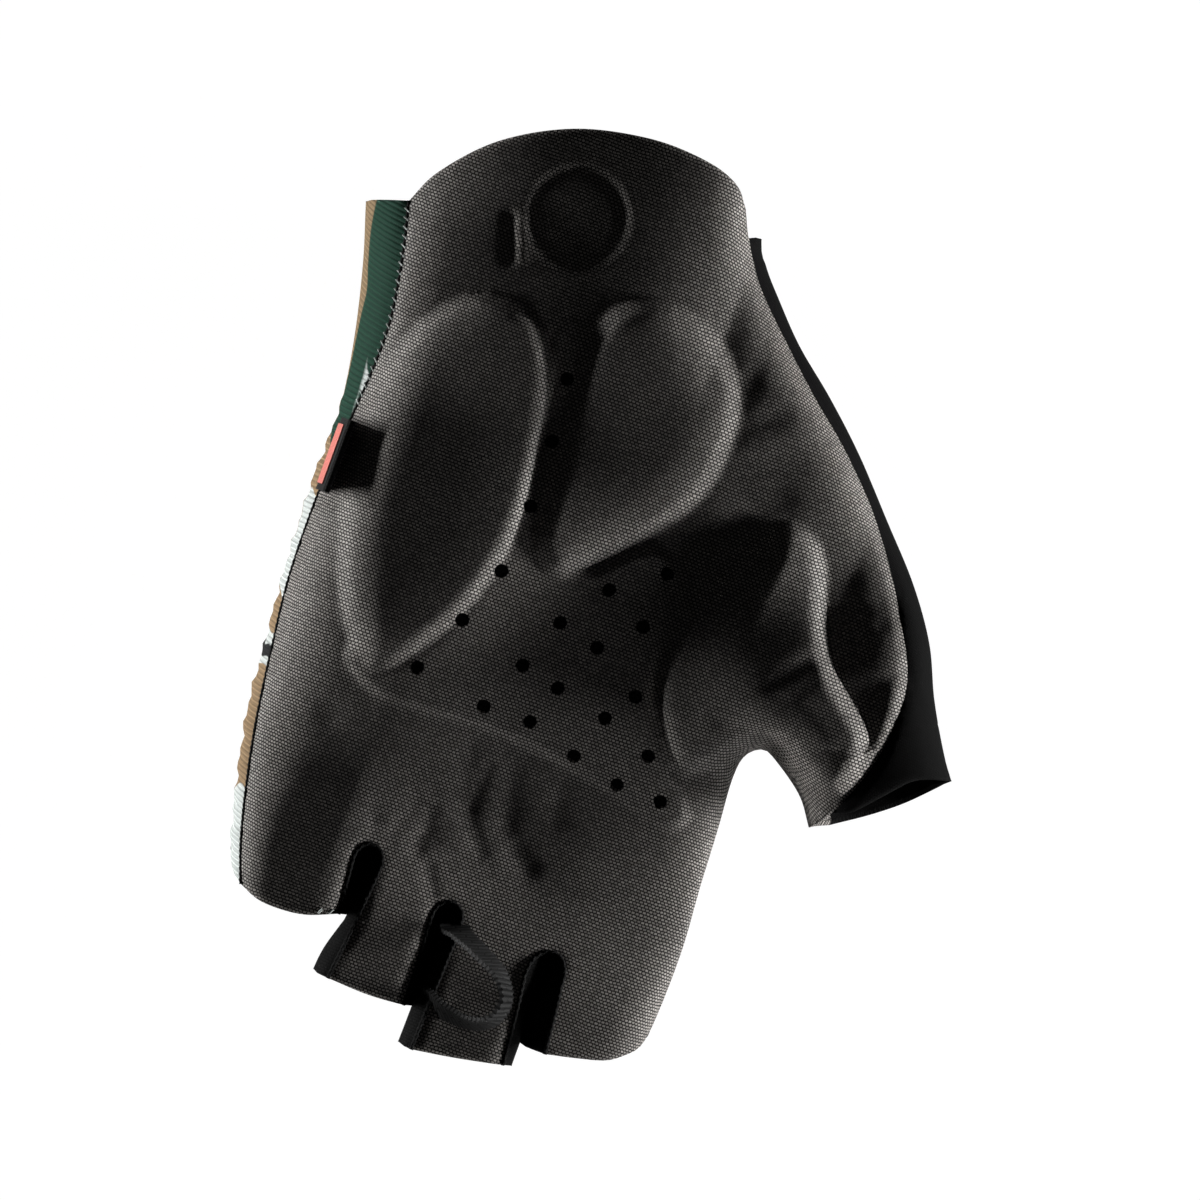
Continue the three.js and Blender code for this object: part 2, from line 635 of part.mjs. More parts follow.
const fingerPieces = fingers.map((finger, i) => {
  const free = box(-100, -110, 100, finger.hinge).subtract(fingerBend(finger, bendRadius + hingeGap));
  const mouth = fingerHollow.intersect(fingerPlan(finger, i, wall, 20));
  const tube = fingerBody.intersect(fingerPlan(finger, i, 0, 0)).subtract(mouth).intersect(free);
  const { left, right } = finger;
  const inner = right - 1.6; // the radial strips show less from the palm side
  const outer = left + sideLip[i];
  const strip = (from, to) => box(from, -110, to, 100);
  const pieces = {};
  if (i === 0) {
    const frontPart = strip(left + seamInset, inner).intersect(fingerUpper);
    pieces.front = tube.intersect(frontPart);
    pieces.back = tube
      .intersect(strip(left - 1, inner))
      .subtract(strip(left + seamInset - seamGap, inner + 1).intersect(fingerUpper))
      .subtract(strip(left + seamInset - seamGap, inner + 1).subtract(fingerLower).subtract(fingerUpper));
  } else {
    const end = i === 3 ? right + 1 : inner;
    pieces.front = tube.intersect(strip(outer, end)).intersect(fingerUpper);
    pieces.back = tube.intersect(strip(left + 1.6, end)).intersect(fingerLower);
    pieces.ulnar_side = tube.intersect(
      strip(left - 1, outer - seamGap)
        .intersect(fingerUpper)
        .add(strip(left - 1, left + 1.6 - seamGap)),
    );
  }
  if (i < 3) pieces.radial_side = tube.intersect(strip(inner + seamGap, right + 1));
  const hemRing = hemOuter
    .intersect(fingerPlan(finger, i, wall + seamGap, -0.4))
    .subtract(hemInner.intersect(fingerPlan(finger, i, wall + seamGap + hemWall, 20)));
  const hemStart = fingerLoop(finger, -1, -hemWidth - 0.4).slice(1, 3);
  const hemEnd = prism([hemStart[0], [hemStart[0][0], -110], [hemStart[1][0], -110], hemStart[1]]);
  pieces.hem = hemRing.intersect(hemEnd).intersect(free);
  return pieces;
});

// Thumb: leather front, microfibre back and hem tape.
const thumbInnerAt = (along) => (thumbInnerTaper * Math.max(along, 0)) / thumbLength;
const thumbOuterAt = (along) =>
  thumbWidth - (thumbOuterTaper * Math.max(along - 2, 0)) / (thumbLength - 2);
const thumbLoop = (side, past) => [
  atThumb(side, thumbHinge),
  atThumb(side, 0),
  atThumb(thumbInnerAt(thumbLength + past) + side, thumbLength + past),
  atThumb(thumbOuterAt(thumbLength + past) - side, thumbLength + past),
  atThumb(thumbWidth - side, 2),
  atThumb(thumbWidth - side + 0.5, thumbHinge),
];
const thumbFree = thumbZone.subtract(thumbBendRod(thumbBend + hingeGap));
const thumbTube = fullBody
  .intersect(prism(thumbLoop(0, 0)))
  .subtract(hollow.intersect(prism(thumbLoop(wall, 20))))
  .intersect(thumbFree);
const thumbFrontArea = (gap) =>
  prism([
    atThumb(-20, thumbHinge),
    atThumb(-20, 60),
    atThumb(thumbWidth * 0.6 - gap - 22, 60),
    atThumb(thumbWidth * 0.6 - gap, thumbLength),
    atThumb(thumbWidth - 2.6 - gap, -3),
    atThumb(thumbWidth - 2.6 - gap, thumbHinge),
  ]);
const thumbFront = thumbTube.intersect(thumbFrontArea(seamGap)).intersect(upperHalf);
const thumbBack = thumbTube.subtract(thumbFrontArea(0).subtract(lowerHalf));
const thumbHemRing = webSheet
  .intersect(prism(thumbLoop(wall + seamGap, -0.4)))
  .subtract(
    overBack(wall + seamGap + hemWall)
      .intersect(underPalm(-wall - seamGap - hemWall))
      .intersect(prism(thumbLoop(wall + seamGap + hemWall, 20))),
  );
const thumbHemStart = thumbLength - hemWidth;
const thumbHemArea = prism([
  atThumb(-5, thumbHemStart),
  atThumb(-5, 60),
  atThumb(80, 60),
  atThumb(80, thumbHemStart),
]);
const thumbHem = thumbHemRing.intersect(thumbHemArea).intersect(thumbFree);

// Pull loop: a ribbon sewn into the ulnar seam of the middle finger, standing up over its front.
const loopPlace = [fingers[2].left + ribbonWidth - 0.2, crotches[2] - loopSpan / 2 - 3.5];
const middleFinger = fingers[2];
const frontHeight = (share) =>
  palmTop(lerp(middleFinger.left, middleFinger.right, share), loopPlace[1]);
const loopShare = (loopPlace[0] - middleFinger.left) / widths[2];
const loopRise = clamp((loopShare - 0.16) / 0.34, 0, 1);
const loopFloor = lerp(frontHeight(0.16), frontHeight(0.5), loopRise) + seamGap;
const loopCurve = (out, span) => {
  const shape = new THREE.Path();
  shape.moveTo(0, -span);
  shape.bezierCurveTo(out * 0.75, -span * 1.15, out, -span * 0.7, out, 0);
  shape.bezierCurveTo(out, span * 0.7, out * 0.75, span * 1.15, 0, span);
  return shape.getPoints(8);
};
const ribbonShape = new THREE.Shape([
  ...loopCurve(loopReach, loopSpan / 2),
  ...loopCurve(loopReach - ribbonWall, loopSpan / 2 - ribbonWall).toReversed(),
]);
const ribbon = new THREE.ExtrudeGeometry(ribbonShape, { depth: ribbonWidth, bevelEnabled: false });
ribbon.rotateY(-rad(loopTilt)).translate(loopPlace[0], loopPlace[1], loopFloor);

// Folded label, standing on the ulnar palm seam.
const labelY = labelPlace * stretchY;
const seamPoint = palmUlnarSeam.reduce((best, point) =>
  Math.abs(point[1] - labelY) < Math.abs(best[1] - labelY) ? point : best,
);
const labelBox = new THREE.BoxGeometry(labelWall, labelLength, labelHeight);
labelBox.translate(0, 0, labelHeight / 2).rotateY(rad(labelLean));
const labelFloor = Math.max(
  palmTop(seamPoint[0] + labelWall, labelY - labelLength / 2),
  palmTop(seamPoint[0] + labelWall, labelY + labelLength / 2),
);
labelBox.translate(seamPoint[0], labelY, labelFloor + seamGap);

// Assembly
const glove = new THREE.Group();
glove.name = "mountain_bike_glove";
function piece(name, cut, look) {
  // A cut can leave a crumb of cloth behind, so only the largest body is kept.
  const body = cut.decompose().reduce((a, b) => (b.volume() > a.volume() ? b : a));
  const { vertProperties, triVerts } = body.getMesh();
  const geometry = new THREE.BufferGeometry();
  geometry.setAttribute("position", new THREE.BufferAttribute(new Float32Array(vertProperties), 3));
  geometry.setIndex(new THREE.BufferAttribute(new Uint32Array(triVerts), 1));
  geometry.computeVertexNormals();
  const mesh = new THREE.Mesh(geometry, look);
  mesh.name = name;
  glove.add(mesh);
}
const look = (color, roughness) => new THREE.MeshStandardMaterial({ color, roughness, metalness: 0 });
const leather = look("#4a4542", 0.7);
const knit = look("#8d8a6a", 0.85);
const microfibre = look("#171717", 0.8);
const stretch = look("#1d1d1f", 0.85);
const foamed = look("#b9b4aa", 0.9);
const gel = look("#7fa3b5", 0.35);
const jersey = look("#2b2b2e", 0.9);
const tape = look("#101011", 0.75);
const coral = look("#d8574a", 0.7);

piece("palm_panel", palm, leather);
piece("back_panel", back, knit);
piece("thumb_gusset", thumbGusset, microfibre);
piece("palm_lining", lining, jersey);
piece("palm_foam", foam, foamed);
for (const [name, body] of pads) piece(name, body, gel);
piece("cuff_band", band, tape);
webs.forEach((body, i) => piece(`${fingerNames[i]}_web`, body, stretch));
fingerPieces.forEach((pieces, i) => {
  const looks = { front: leather, back: knit, ulnar_side: stretch, radial_side: stretch, hem: tape };
  for (const [part, body] of Object.entries(pieces)) piece(`${fingerNames[i]}_${part}`, body, looks[part]);
});
piece("thumb_front", thumbFront, leather);
piece("thumb_back", thumbBack, microfibre);
piece("thumb_hem", thumbHem, tape);
piece("pull_loop", solid(ribbon), tape);
piece("side_label", solid(labelBox), coral);

export default glove;
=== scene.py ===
# %% [markdown]
# # A fingerless cycling glove, lying palm up
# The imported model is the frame: eight bodies, joined by hinges at the finger roots, the thumb, the pull
# loop and the folded label. Every cloth panel is rebuilt here on top of it. The pattern is drawn in
# millimetres, in the same axes as the frame: x across the palm to the thumb, y from the fingers to the
# wrist, z up from the table.

# %% Frame and units
import math

import bpy
import numpy as np
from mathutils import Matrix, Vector
from mathutils.geometry import delaunay_2d_cdt


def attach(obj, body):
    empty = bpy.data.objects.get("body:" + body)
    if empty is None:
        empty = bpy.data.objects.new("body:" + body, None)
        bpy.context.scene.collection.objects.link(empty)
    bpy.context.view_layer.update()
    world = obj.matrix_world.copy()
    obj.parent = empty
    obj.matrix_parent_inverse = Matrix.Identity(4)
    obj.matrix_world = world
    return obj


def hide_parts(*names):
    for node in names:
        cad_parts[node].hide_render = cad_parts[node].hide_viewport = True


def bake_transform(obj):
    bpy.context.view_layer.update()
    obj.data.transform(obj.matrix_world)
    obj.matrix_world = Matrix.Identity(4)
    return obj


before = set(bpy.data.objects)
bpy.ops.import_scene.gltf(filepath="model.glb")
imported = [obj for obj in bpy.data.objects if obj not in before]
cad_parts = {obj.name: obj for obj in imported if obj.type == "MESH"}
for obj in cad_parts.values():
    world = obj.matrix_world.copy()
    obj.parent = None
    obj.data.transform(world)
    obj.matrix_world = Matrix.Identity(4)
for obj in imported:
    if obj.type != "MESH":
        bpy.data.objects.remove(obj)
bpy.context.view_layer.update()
scene = bpy.context.scene
MM = 0.001

# %% [markdown]
# ## Camera
# The picture looks straight down on the palm through a long lens, and the hand is turned so that the
# fingers hang down and to the left. A turn of the camera about its own axis gives that, and leaves the
# glove square to the axes, which keeps all other work simple.

# %% Camera
HAND_TURN = math.radians(20)
PICTURE_WIDTH = 222.0
PICTURE_CENTRE = (1.65, 0.6)
CAMERA_HEIGHT = 1500.0
MEAN_HEIGHT = 25.0
SENSOR = 36.0

camera_data = bpy.data.cameras.new("camera")
camera_data.sensor_width = SENSOR
camera_data.lens = SENSOR * (CAMERA_HEIGHT - MEAN_HEIGHT) / PICTURE_WIDTH
camera = bpy.data.objects.new("camera", camera_data)
camera.location = (PICTURE_CENTRE[0] * MM, PICTURE_CENTRE[1] * MM, CAMERA_HEIGHT * MM)
camera.rotation_euler = (0, 0, HAND_TURN)
scene.collection.objects.link(camera)
scene.camera = camera
print("lens:", round(camera_data.lens, 1), "mm")

# %% [markdown]
# ## Drawing in plan
# A glove is cut from flat panels, so each panel here starts as an outline in plan. Smooth curves through
# a few points give the outlines. The helpers below sample such a curve evenly, take the stretch of it
# between two places, move it sideways, and measure how far points lie from it.

# %% Curves
def smooth(value, low, high):
    """0 up to low and 1 from high on, with a soft rise between them."""
    share = np.clip((value - low) / (high - low), 0, 1)
    return share * share * (3 - 2 * share)


def unit(vectors):
    return vectors / np.linalg.norm(vectors, axis=1)[:, None]


def run_along(path):
    steps = np.linalg.norm(np.diff(path, axis=0), axis=1)
    return np.concatenate([[0], np.cumsum(steps)])


def at_run(path, places):
    run = run_along(path)
    return np.column_stack([np.interp(places, run, path[:, k]) for k in range(path.shape[1])])


def evenly(path, step):
    length = run_along(path)[-1]
    return at_run(path, np.linspace(0, length, max(2, round(length / step) + 1)))


def curve(knots, step=1.25, closed=False):
    knots = np.array(knots, float)
    if closed:
        ring = np.vstack([knots[-1:], knots, knots[:2]])
    else:
        ring = np.vstack([2 * knots[0] - knots[1], knots, 2 * knots[-1] - knots[-2]])
    t = np.linspace(0, 1, 24, endpoint=False)[:, None]
    spans = []
    for a, b, c, d in zip(ring, ring[1:], ring[2:], ring[3:]):
        bend = (c - a) * t + (2 * a - 5 * b + 4 * c - d) * t**2 + (3 * b - a - 3 * c + d) * t**3
        spans.append(b + bend / 2)
    spans.append(knots[:1] if closed else knots[-1:])
    path = evenly(np.vstack(spans), step)
    return path[:-1] if closed else path


def line(start, end, step=1.25):
    return evenly(np.array([start, end], float), step)


def nearest_run(path, point):
    starts, spans = path[:-1], np.diff(path, axis=0)
    share = np.clip(((point - starts) * spans).sum(1) / (spans**2).sum(1), 0, 1)
    best = np.linalg.norm(starts + share[:, None] * spans - point, axis=1).argmin()
    return run_along(path)[best] + share[best] * np.linalg.norm(spans[best])


def on(path, point):
    return at_run(path, [nearest_run(path, np.array(point, float))])[0]


def between(path, start, end):
    """The stretch of a path from one place to another, in that direction."""
    start, end = np.array(start, float), np.array(end, float)
    low, high = nearest_run(path, start), nearest_run(path, end)
    if low > high:
        return between(path[::-1], start, end)
    run = run_along(path)
    inner = path[(run > low + 0.15) & (run < high - 0.15)]
    return np.vstack([at_run(path, [low]), inner, at_run(path, [high])])


def beside(path, distance):
    """The path, moved to its left."""
    along = np.gradient(path, axis=0)
    left = np.column_stack([-along[:, 1], along[:, 0]])
    return path + distance * left / np.linalg.norm(left, axis=1)[:, None]


# %% Distances
BLOCK = 3000


def distance(path, points):
    starts, spans = path[:-1], np.diff(path, axis=0)
    squares = (spans**2).sum(1)
    found = []
    for block in np.array_split(points, max(1, len(points) // BLOCK)):
        reach = block[:, None] - starts
        share = np.clip((reach * spans).sum(2) / squares, 0, 1)
        found.append(np.linalg.norm(reach - share[..., None] * spans, axis=2).min(1))
    return np.concatenate(found)


def closed_loop(loop):
    return np.vstack([loop, loop[:1]])


def inside(loop, points):
    x, y = points[:, :1], points[:, 1:2]
    ax, ay = loop[:, 0], loop[:, 1]
    bx, by = np.roll(ax, -1), np.roll(ay, -1)
    rise = np.where(by == ay, 1e-12, by - ay)
    crosses = ((ay > y) != (by > y)) & (x < (bx - ax) * (y - ay) / rise + ax)
    return crosses.sum(1) % 2 == 1


def depth_in(loop, points):
    away = distance(closed_loop(loop), points)
    return np.where(inside(loop, points), away, -away)


def winding(loop):
    """1 for a loop that runs anticlockwise, and -1 for one that runs clockwise."""
    x, y = loop[:, 0], loop[:, 1]
    return np.sign((x * np.roll(y, -1) - np.roll(x, -1) * y).sum())


# %% [markdown]
# ## The hand's outline
# Three kinds of line make the plan. Folds are where the cloth turns round the side of the hand, so the
# palm side and the back meet there. Seams part one panel from the next. Cuts are free edges: the wrist
# flap, the cuff and the open ends of the fingers. Folds run on past the free edges, so that the rounding
# of the sides doesn't change there.

# %% Folds
ulnar_fold = curve([
    (-70.5, 76), (-67.6, 66), (-64.5, 55.3), (-61.2, 44.6), (-58.2, 32), (-56.3, 20.1), (-56.1, 11),
    (-56.3, 3), (-55.5, -14.2), (-54.4, -27.5), (-53.4, -39.2), (-51.9, -47.6), (-49.7, -57.5),
    (-47.9, -64), (-46.4, -70), (-45, -80), (-44, -95),
])
puckers = 0.22 * np.sin(ulnar_fold[:, 1] / 0.62) + 0.18 * np.sin(ulnar_fold[:, 1] / 1.1)
ulnar_fold[:, 0] += puckers * smooth(ulnar_fold[:, 1], 26, 12)
radial_fold = curve([
    (93.8, -31.7), (84, -20), (74.5, -8.7), (70.9, -3.6), (66.2, 4.6), (61.8, 14), (55.2, 23.4),
    (46.6, 32.8), (37.6, 42.4), (28.9, 50.4), (20.4, 57.4), (13.9, 64.1), (9.6, 69), (6.9, 73.8), (2.4, 92),
])
web_fold = curve([
    (36.5, -100), (36.6, -84), (37.4, -76.8), (38.2, -66.6), (38.3, -54.9), (37.5, -43.5), (36.9, -31.8),
    (36.2, -22.5), (36.8, -17.6), (39.5, -15.2), (42.4, -16.2), (48.8, -20.8), (52.8, -26.2), (60, -36),
    (70, -50),
])
little_right = curve([(-22.6, -59.2), (-22.55, -60.2), (-22.55, -66), (-22.55, -80), (-22.55, -95)])
ring_left = curve([
    (-22.6, -59.2), (-22.65, -60.2), (-22.65, -66), (-22.65, -70.8), (-23.4, -73.6), (-24.6, -78),
    (-25.1, -83), (-25.4, -95),
])
ring_right = curve([(-5.4, -64.2), (-5.35, -65.3), (-5.35, -72), (-5.35, -80), (-5.5, -90), (-6.2, -105)])
middle_left = curve([(-5.4, -64.2), (-5.45, -65.3), (-5.45, -72), (-5.45, -80), (-5.6, -90), (-6, -105)])
middle_right = curve([(15.8, -66.4), (15.85, -67.6), (15.85, -74), (15.85, -86), (15.9, -105)])
index_left = curve([(15.8, -66.4), (15.75, -67.6), (15.75, -74), (15.75, -82), (15.75, -100)])
slit_folds = [
    np.vstack([left[::-1], right[1:]])
    for left, right in [(little_right, ring_left), (ring_right, middle_left), (middle_right, index_left)]
]

# %% Seams and cuts of the hand
ulnar_seam = curve([
    (-56.5, 57.6), (-54.2, 48.5), (-52.2, 36.3), (-52.2, 26.3), (-53.2, 14), (-54, 1.9), (-53.9, -13.8),
    (-52.6, -27.1), (-50.6, -42.1), (-48.2, -54), (-45.6, -64), (-42.9, -71.6),
])
radial_seam = curve([
    (2.3, 77.2), (4.6, 72.5), (9.7, 64.8), (18.3, 56.3), (26.2, 49), (34.6, 42), (43.6, 32.9), (51, 22.8),
    (56.6, 13.4), (59.4, 7.8), (60.5, 3.2), (60.6, -1), (60.2, -6.4), (59, -12.2), (57, -17.8),
    (55.4, -21.6),
])
flap_edge = curve([
    (-56.5, 57.6), (-53.1, 64.4), (-44.5, 73.4), (-32.2, 80.2), (-18.6, 83.2), (-7.6, 82.9), (-0.9, 80.8),
    (2.3, 77.2),
])
CUFF_LEFT, CUFF_RIGHT = (-64.5, 55.3), (6.9, 73.8)
CUFF_SEAM = (0.5, 72.1)
CUFF_LAP = (4.6, 72.5)
LIP = 4.0  # leather turned under the index side and the thumb web
web_lip = beside(web_fold, LIP)
gusset_seam = curve([CUFF_SEAM, (6, 52), (16, 28), (27, 5), on(web_lip, (36, -12))])

THUMB_ROOT = np.array([40.0, -15.2])
THUMB_TURN = math.radians(40)
thumb_along = np.array([math.sin(THUMB_TURN), -math.cos(THUMB_TURN)])
thumb_across = np.array([math.cos(THUMB_TURN), math.sin(THUMB_TURN)])


def thumb_point(across, along):
    return THUMB_ROOT + across * thumb_across + along * thumb_along


THUMB_BASE = 6.5  # along the thumb, where its own panels start
thumb_inner = on(web_fold, thumb_point(3, THUMB_BASE))
thumb_lip = on(web_lip, thumb_point(3 + LIP, THUMB_BASE))
thumb_seam_base = on(radial_seam, thumb_point(21.2, THUMB_BASE))
thumb_outer = on(radial_fold, thumb_point(32, THUMB_BASE))
print("thumb base:", thumb_inner.round(1), thumb_seam_base.round(1), thumb_outer.round(1))

# %% Finger roots
little_root = [on(ulnar_seam, (-47, -58.5)), (-24.9, -60.5)]
ring_root = [(-19.6, -60.5), (-7.6, -66.3)]
middle_root = [(-2.0, -66.3), (12.3, -69.3)]
index_root = [(19.4, -69.3), on(web_fold, (38.2, -66.5))]
index_lip_root = on(web_lip, index_root[1])
ulnar_root = on(ulnar_fold, (-49.9, -57.6))
crotch_tops = [
    [(-24.9, -58.8), (-24.2, -57.1), (-22.3, -56.2), (-20.4, -57.1), (-19.7, -58.8)],
    [(-7.6, -64.2), (-6.7, -62.3), (-4.8, -61.4), (-2.9, -62.2), (-2.1, -64)],
    [(12.6, -66.7), (13.9, -64.6), (15.9, -63.7), (17.9, -64.5), (19.1, -66.6)],
]
crotch_ends = [
    (little_root[1], ring_root[0]),
    (ring_root[1], middle_root[0]),
    (middle_root[1], index_root[0]),
]
crotches = [curve([start, *top, end]) for (start, end), top in zip(crotch_ends, crotch_tops)]

# %% [markdown]
# ## Heights
# The panels then rise from the plan. A middle height and a half height run along the hand, as in the
# frame, and towards each fold the half height rounds off to nothing, which turns the two sheets into one
# tube. The palm side also carries what lies under the leather: gel pads, the foam sheet and a round
# recess at the wrist, and the creases that wear leaves in it.

# %% Height of the hand
def through(knots, places):
    """Heights that rise softly from knot to knot, each a place and its height."""
    height = np.full(len(places), float(knots[0][1]))
    for (start, low), (end, high) in zip(knots, knots[1:]):
        height += (high - low) * smooth(places, start, end)
    return height


PALM_LINE = [(-45.9, 24.5), (-13.9, 32), (20, 33), (55.3, 38), (73.8, 39)]
BACK_LINE = [(-46.9, 5.5), (-25.9, 0), (43.3, 0), (73.8, 4)]
THUMB_MIDDLE, THUMB_HALF = 19.0, 12.5
THUMB_ALONG, THUMB_ACROSS = (-30.5, -6.5), (-12, 4)  # from the thumb's root, where its form sets in


def thumb_share(points):
    """0 on the hand and 1 on the thumb."""
    away = points - THUMB_ROOT
    return smooth(away @ thumb_along, *THUMB_ALONG) * smooth(away @ thumb_across, *THUMB_ACROSS)


def middle_and_half(points):
    y = points[:, 1]
    palm, back, thumb = through(PALM_LINE, y), through(BACK_LINE, y), thumb_share(points)
    middle = (palm + back) / 2 * (1 - thumb) + THUMB_MIDDLE * thumb
    half = (palm - back) / 2 * (1 - thumb) + THUMB_HALF * thumb
    return middle, half


HAND_ROUND, GUSSET_ROUND, WEB_ROUND = 16.0, 11.0, 11.0  # how far in from a fold the section is round
THUMB_ROUND, FINGER_ROUND, SLIT_ROUND = 12.5, 8.0, 5.0
TOP_POWER, UNDER_POWER = 3.0, 2.5  # how square the section is
LITTLE_SIDE_POWER = 2.35  # how square the section is at the little finger's side
KNUCKLES = (-66, -38)  # along the hand, where a finger's rounding turns into the hand's


def round_off(points, folds, power):
    """The share of the half height that is left towards the folds: 0 on a fold, 1 well inside."""
    hand = smooth(points[:, 1], *KNUCKLES)
    thumb = thumb_share(points)
    sides = []
    for fold in folds:
        root, tip = HAND_ROUND, FINGER_ROUND
        if fold is web_fold:
            root = WEB_ROUND
        elif fold is radial_fold:
            root = GUSSET_ROUND
        elif fold is not ulnar_fold:
            root = tip = SLIT_ROUND
        reach = tip + (root - tip) * hand
        reach = reach + (THUMB_ROUND - reach) * thumb
        short = np.clip(1 - distance(fold, points) / reach, 0, 1)
        square = min(power, LITTLE_SIDE_POWER) if fold is ulnar_fold else power
        sides.append((1 - short**square) ** (1 / square))
    return np.min(sides, axis=0)


hand_folds = [ulnar_fold, radial_fold, web_fold, *slit_folds]
finger_folds = {
    "little": [ulnar_fold, little_right],
    "ring": [ring_left, ring_right],
    "middle": [middle_left, middle_right],
    "index": [index_left, web_fold],
}

# %% Raised and sunk places of the palm
pad_loops = {
    "ulnar_pad": curve([
        (-38.2, 45.2), (-46.4, 37), (-50.6, 23.6), (-51, 10.5), (-45.6, -8.9), (-39.9, -20.4),
        (-33.2, -25.5), (-26.8, -18.6), (-20.9, -7.6), (-17.6, 7.4), (-18.9, 24.6), (-21.6, 37.4),
        (-28, 45.4),
    ], closed=True),
    "thenar_pad": curve([
        (-15.4, 47.5), (-11.5, 53.4), (-2.7, 55.7), (6, 52.4), (12.3, 44.8), (14.1, 36.6), (12.9, 26.4),
        (7.7, 16.6), (-0.8, 7.2), (-7, 2.4), (-12.6, 5.7), (-14.2, 14.5), (-15, 30),
    ], closed=True),
    "thumb_pad": curve([
        (30.1, 25.4), (36.6, 22.5), (41, 12.4), (45.6, 3.4), (50.4, -1), (55.4, -5.4), (56.8, -9.6),
        (56.2, -14.2), (53.2, -18.4), (47.5, -18.6), (42, -13.6), (33, -20.5), (26.3, -23.9),
        (19.7, -16.5), (17.4, -7.5), (18.4, 8.7), (23.6, 18.8),
    ], closed=True),
}
foam_loop = curve([
    (-22, 46), (-22, 30), (-22, 8), (-27, -10), (-39, -23), (-32.3, -29.5), (-20.8, -29.6), (-7.2, -29.2),
    (7.2, -30.9), (22.2, -34.4), (28.8, -34.8), (30.6, -31), (24.9, -24.4), (18.8, -16.8), (16, -8),
    (17.9, 6), (8, 13), (-2, 5), (-10, 6), (-12, 24), (-12, 46),
], closed=True)
PAD_SWELL, DOME_REACH = 0.4, 13.0  # a pad's dome: its height, and how far in from the edge it rises
PAD_SKIRT, SHOULDER_POWER = 0.9, 2.2  # how far outside its edge a pad starts to rise, and how roundly
PAD_MIDDLE = 6.0  # to each side of a pad's middle, over which one slope's width turns into the other's
# Of each pad: its height, and the width of its slope on the little finger's and on the thumb's side.
PAD_SHOULDERS = {
    "ulnar_pad": (1.9, 9.0, 3.2),
    "thenar_pad": (1.3, 5.0, 10.0),
    "thumb_pad": (1.9, 14.0, 3.4),
}
WRIST = (34, 60)  # along the hand, where the palm turns into the arched wrist
WRIST_MIDDLE, WRIST_HALF, WRIST_DROP = -24.0, 48.0, 18.0
ARCH_LIMIT, ARCH_POWER = 0.64, 4  # of the wrist's half width, how far the arch falls, and how suddenly
MOUND_RISE, MOUND_TO, MOUND_POWER = 0.8, 12.0, 0.65
MOUND_EDGE = [(-30, -29), (-8, -21), (8, -18)]  # along the hand, where the mound starts to fall
# Along the hand, how far the palm lies below the mound.
HOLLOW = [(-74, 1.8), (-52, 5.2), (-28, 4.6), (2, 3.6), (26, 0.9)]
SIDE_FROM, SIDE_SPAN, SIDE_DROP = 4.0, 40.0, 3.6
FOAM_STEP = 0.9
FOAM_EDGE, FOAM_FADE = (-0.7, 1.2), (50, 28)  # in from its edge, and along the hand, where the step sets in
RELIEF_FADE = (0.3, 5)  # in from a fold, where the palm's relief sets in
BADGE, BADGE_RADIUS = np.array([-26.1, 64.9]), 9.3  # the round recess at the wrist
BADGE_SINK, BADGE_GROOVE, BADGE_SOFT = 0.24, 0.14, 0.6
GROOVE_IN, GROOVE_HALF = 0.8, 1.1  # in from the recess's edge, and half as wide

creases = [  # path, depth, half width; a negative depth is a ridge
    ([(-23.9, -51), (-22.5, -56.4)], 0.23, 1.52),
    ([(-11.3, -57.3), (-9, -61)], 0.23, 1.39),
    ([(-6.9, -46.6), (-3.3, -50.8)], 0.23, 1.64),
    ([(3, -49.1), (5.7, -50.7)], 0.31, 2.4),
    ([(-11.5, -33.7), (-9.1, -44.6)], 0.23, 2.15),
    ([(-2.8, -33), (-0.3, -45.4)], 0.25, 2.15),
    ([(7, -34), (8, -40)], 0.21, 2.02),
    ([(-19.9, -55.5), (-13, -51)], 0.23, 2.28),
    ([(25.7, -25.1), (31.6, -21.6)], 0.35, 1.77),
    ([(26.1, -28.2), (32.2, -24.9)], 0.27, 1.77),
    ([(43, 4.2), (37.2, -4.8), (31.5, -12.5)], 0.5, 2.4),
    ([(42.5, -14.8), (46.8, -13.2), (53.4, -11.3)], 0.47, 1.89),
    ([(58, 6), (58.6, 0), (58.6, -6), (57.7, -12), (55.6, -18)], -0.4, 1.7),
    ([(-7.3, -36), (-7.6, -43.9)], 0.22, 1.3),
    ([(-14.4, -46.8), (-14.6, -54.7)], 0.25, 1.6),
    ([(-17.4, -46.9), (-20.1, -54.1)], 0.2, 1.6),
    ([(43.6, 11), (47, 14), (50.8, 16.6)], 0.6, 3.2),
    ([(52.1, 14.4), (55.2, 16.9)], 0.27, 1.52),
    ([(57.6, 6), (60, 9)], 0.27, 1.39),
    ([(15.4, 16.8), (26.2, 29.4)], 0.39, 3.8),
    ([(12.1, 8.6), (20.9, 20.2)], 0.31, 3.04),
    ([(11.5, 62.2), (14.7, 53.4), (14.1, 46.8), (13.8, 41.5)], 0.15, 1.9),
    ([(21.6, 44), (16.4, 39.8), (12.4, 36)], 0.2, 2.3),
    ([(9, 60.6), (8.6, 56.4)], 0.1, 1.7),
    ([(19, 30), (24, 36), (30, 40)], 0.2, 3.8),
    ([(-38.4, -36.6), (-38.2, -36)], 0.27, 2.53),
    ([(-51.4, 3.4), (-51.4, 14.6)], 1.2, 3.0),  # room for the label when it folds over
    ([(-37.8, 60.6), (-35.4, 54)], 0.4, 1.2),
    ([(-35.6, 61.2), (-33.3, 54.8)], -0.22, 1.2),
]
creases += [(ulnar_seam, 0.5, 0.7), (radial_seam, 0.6, 0.8)]
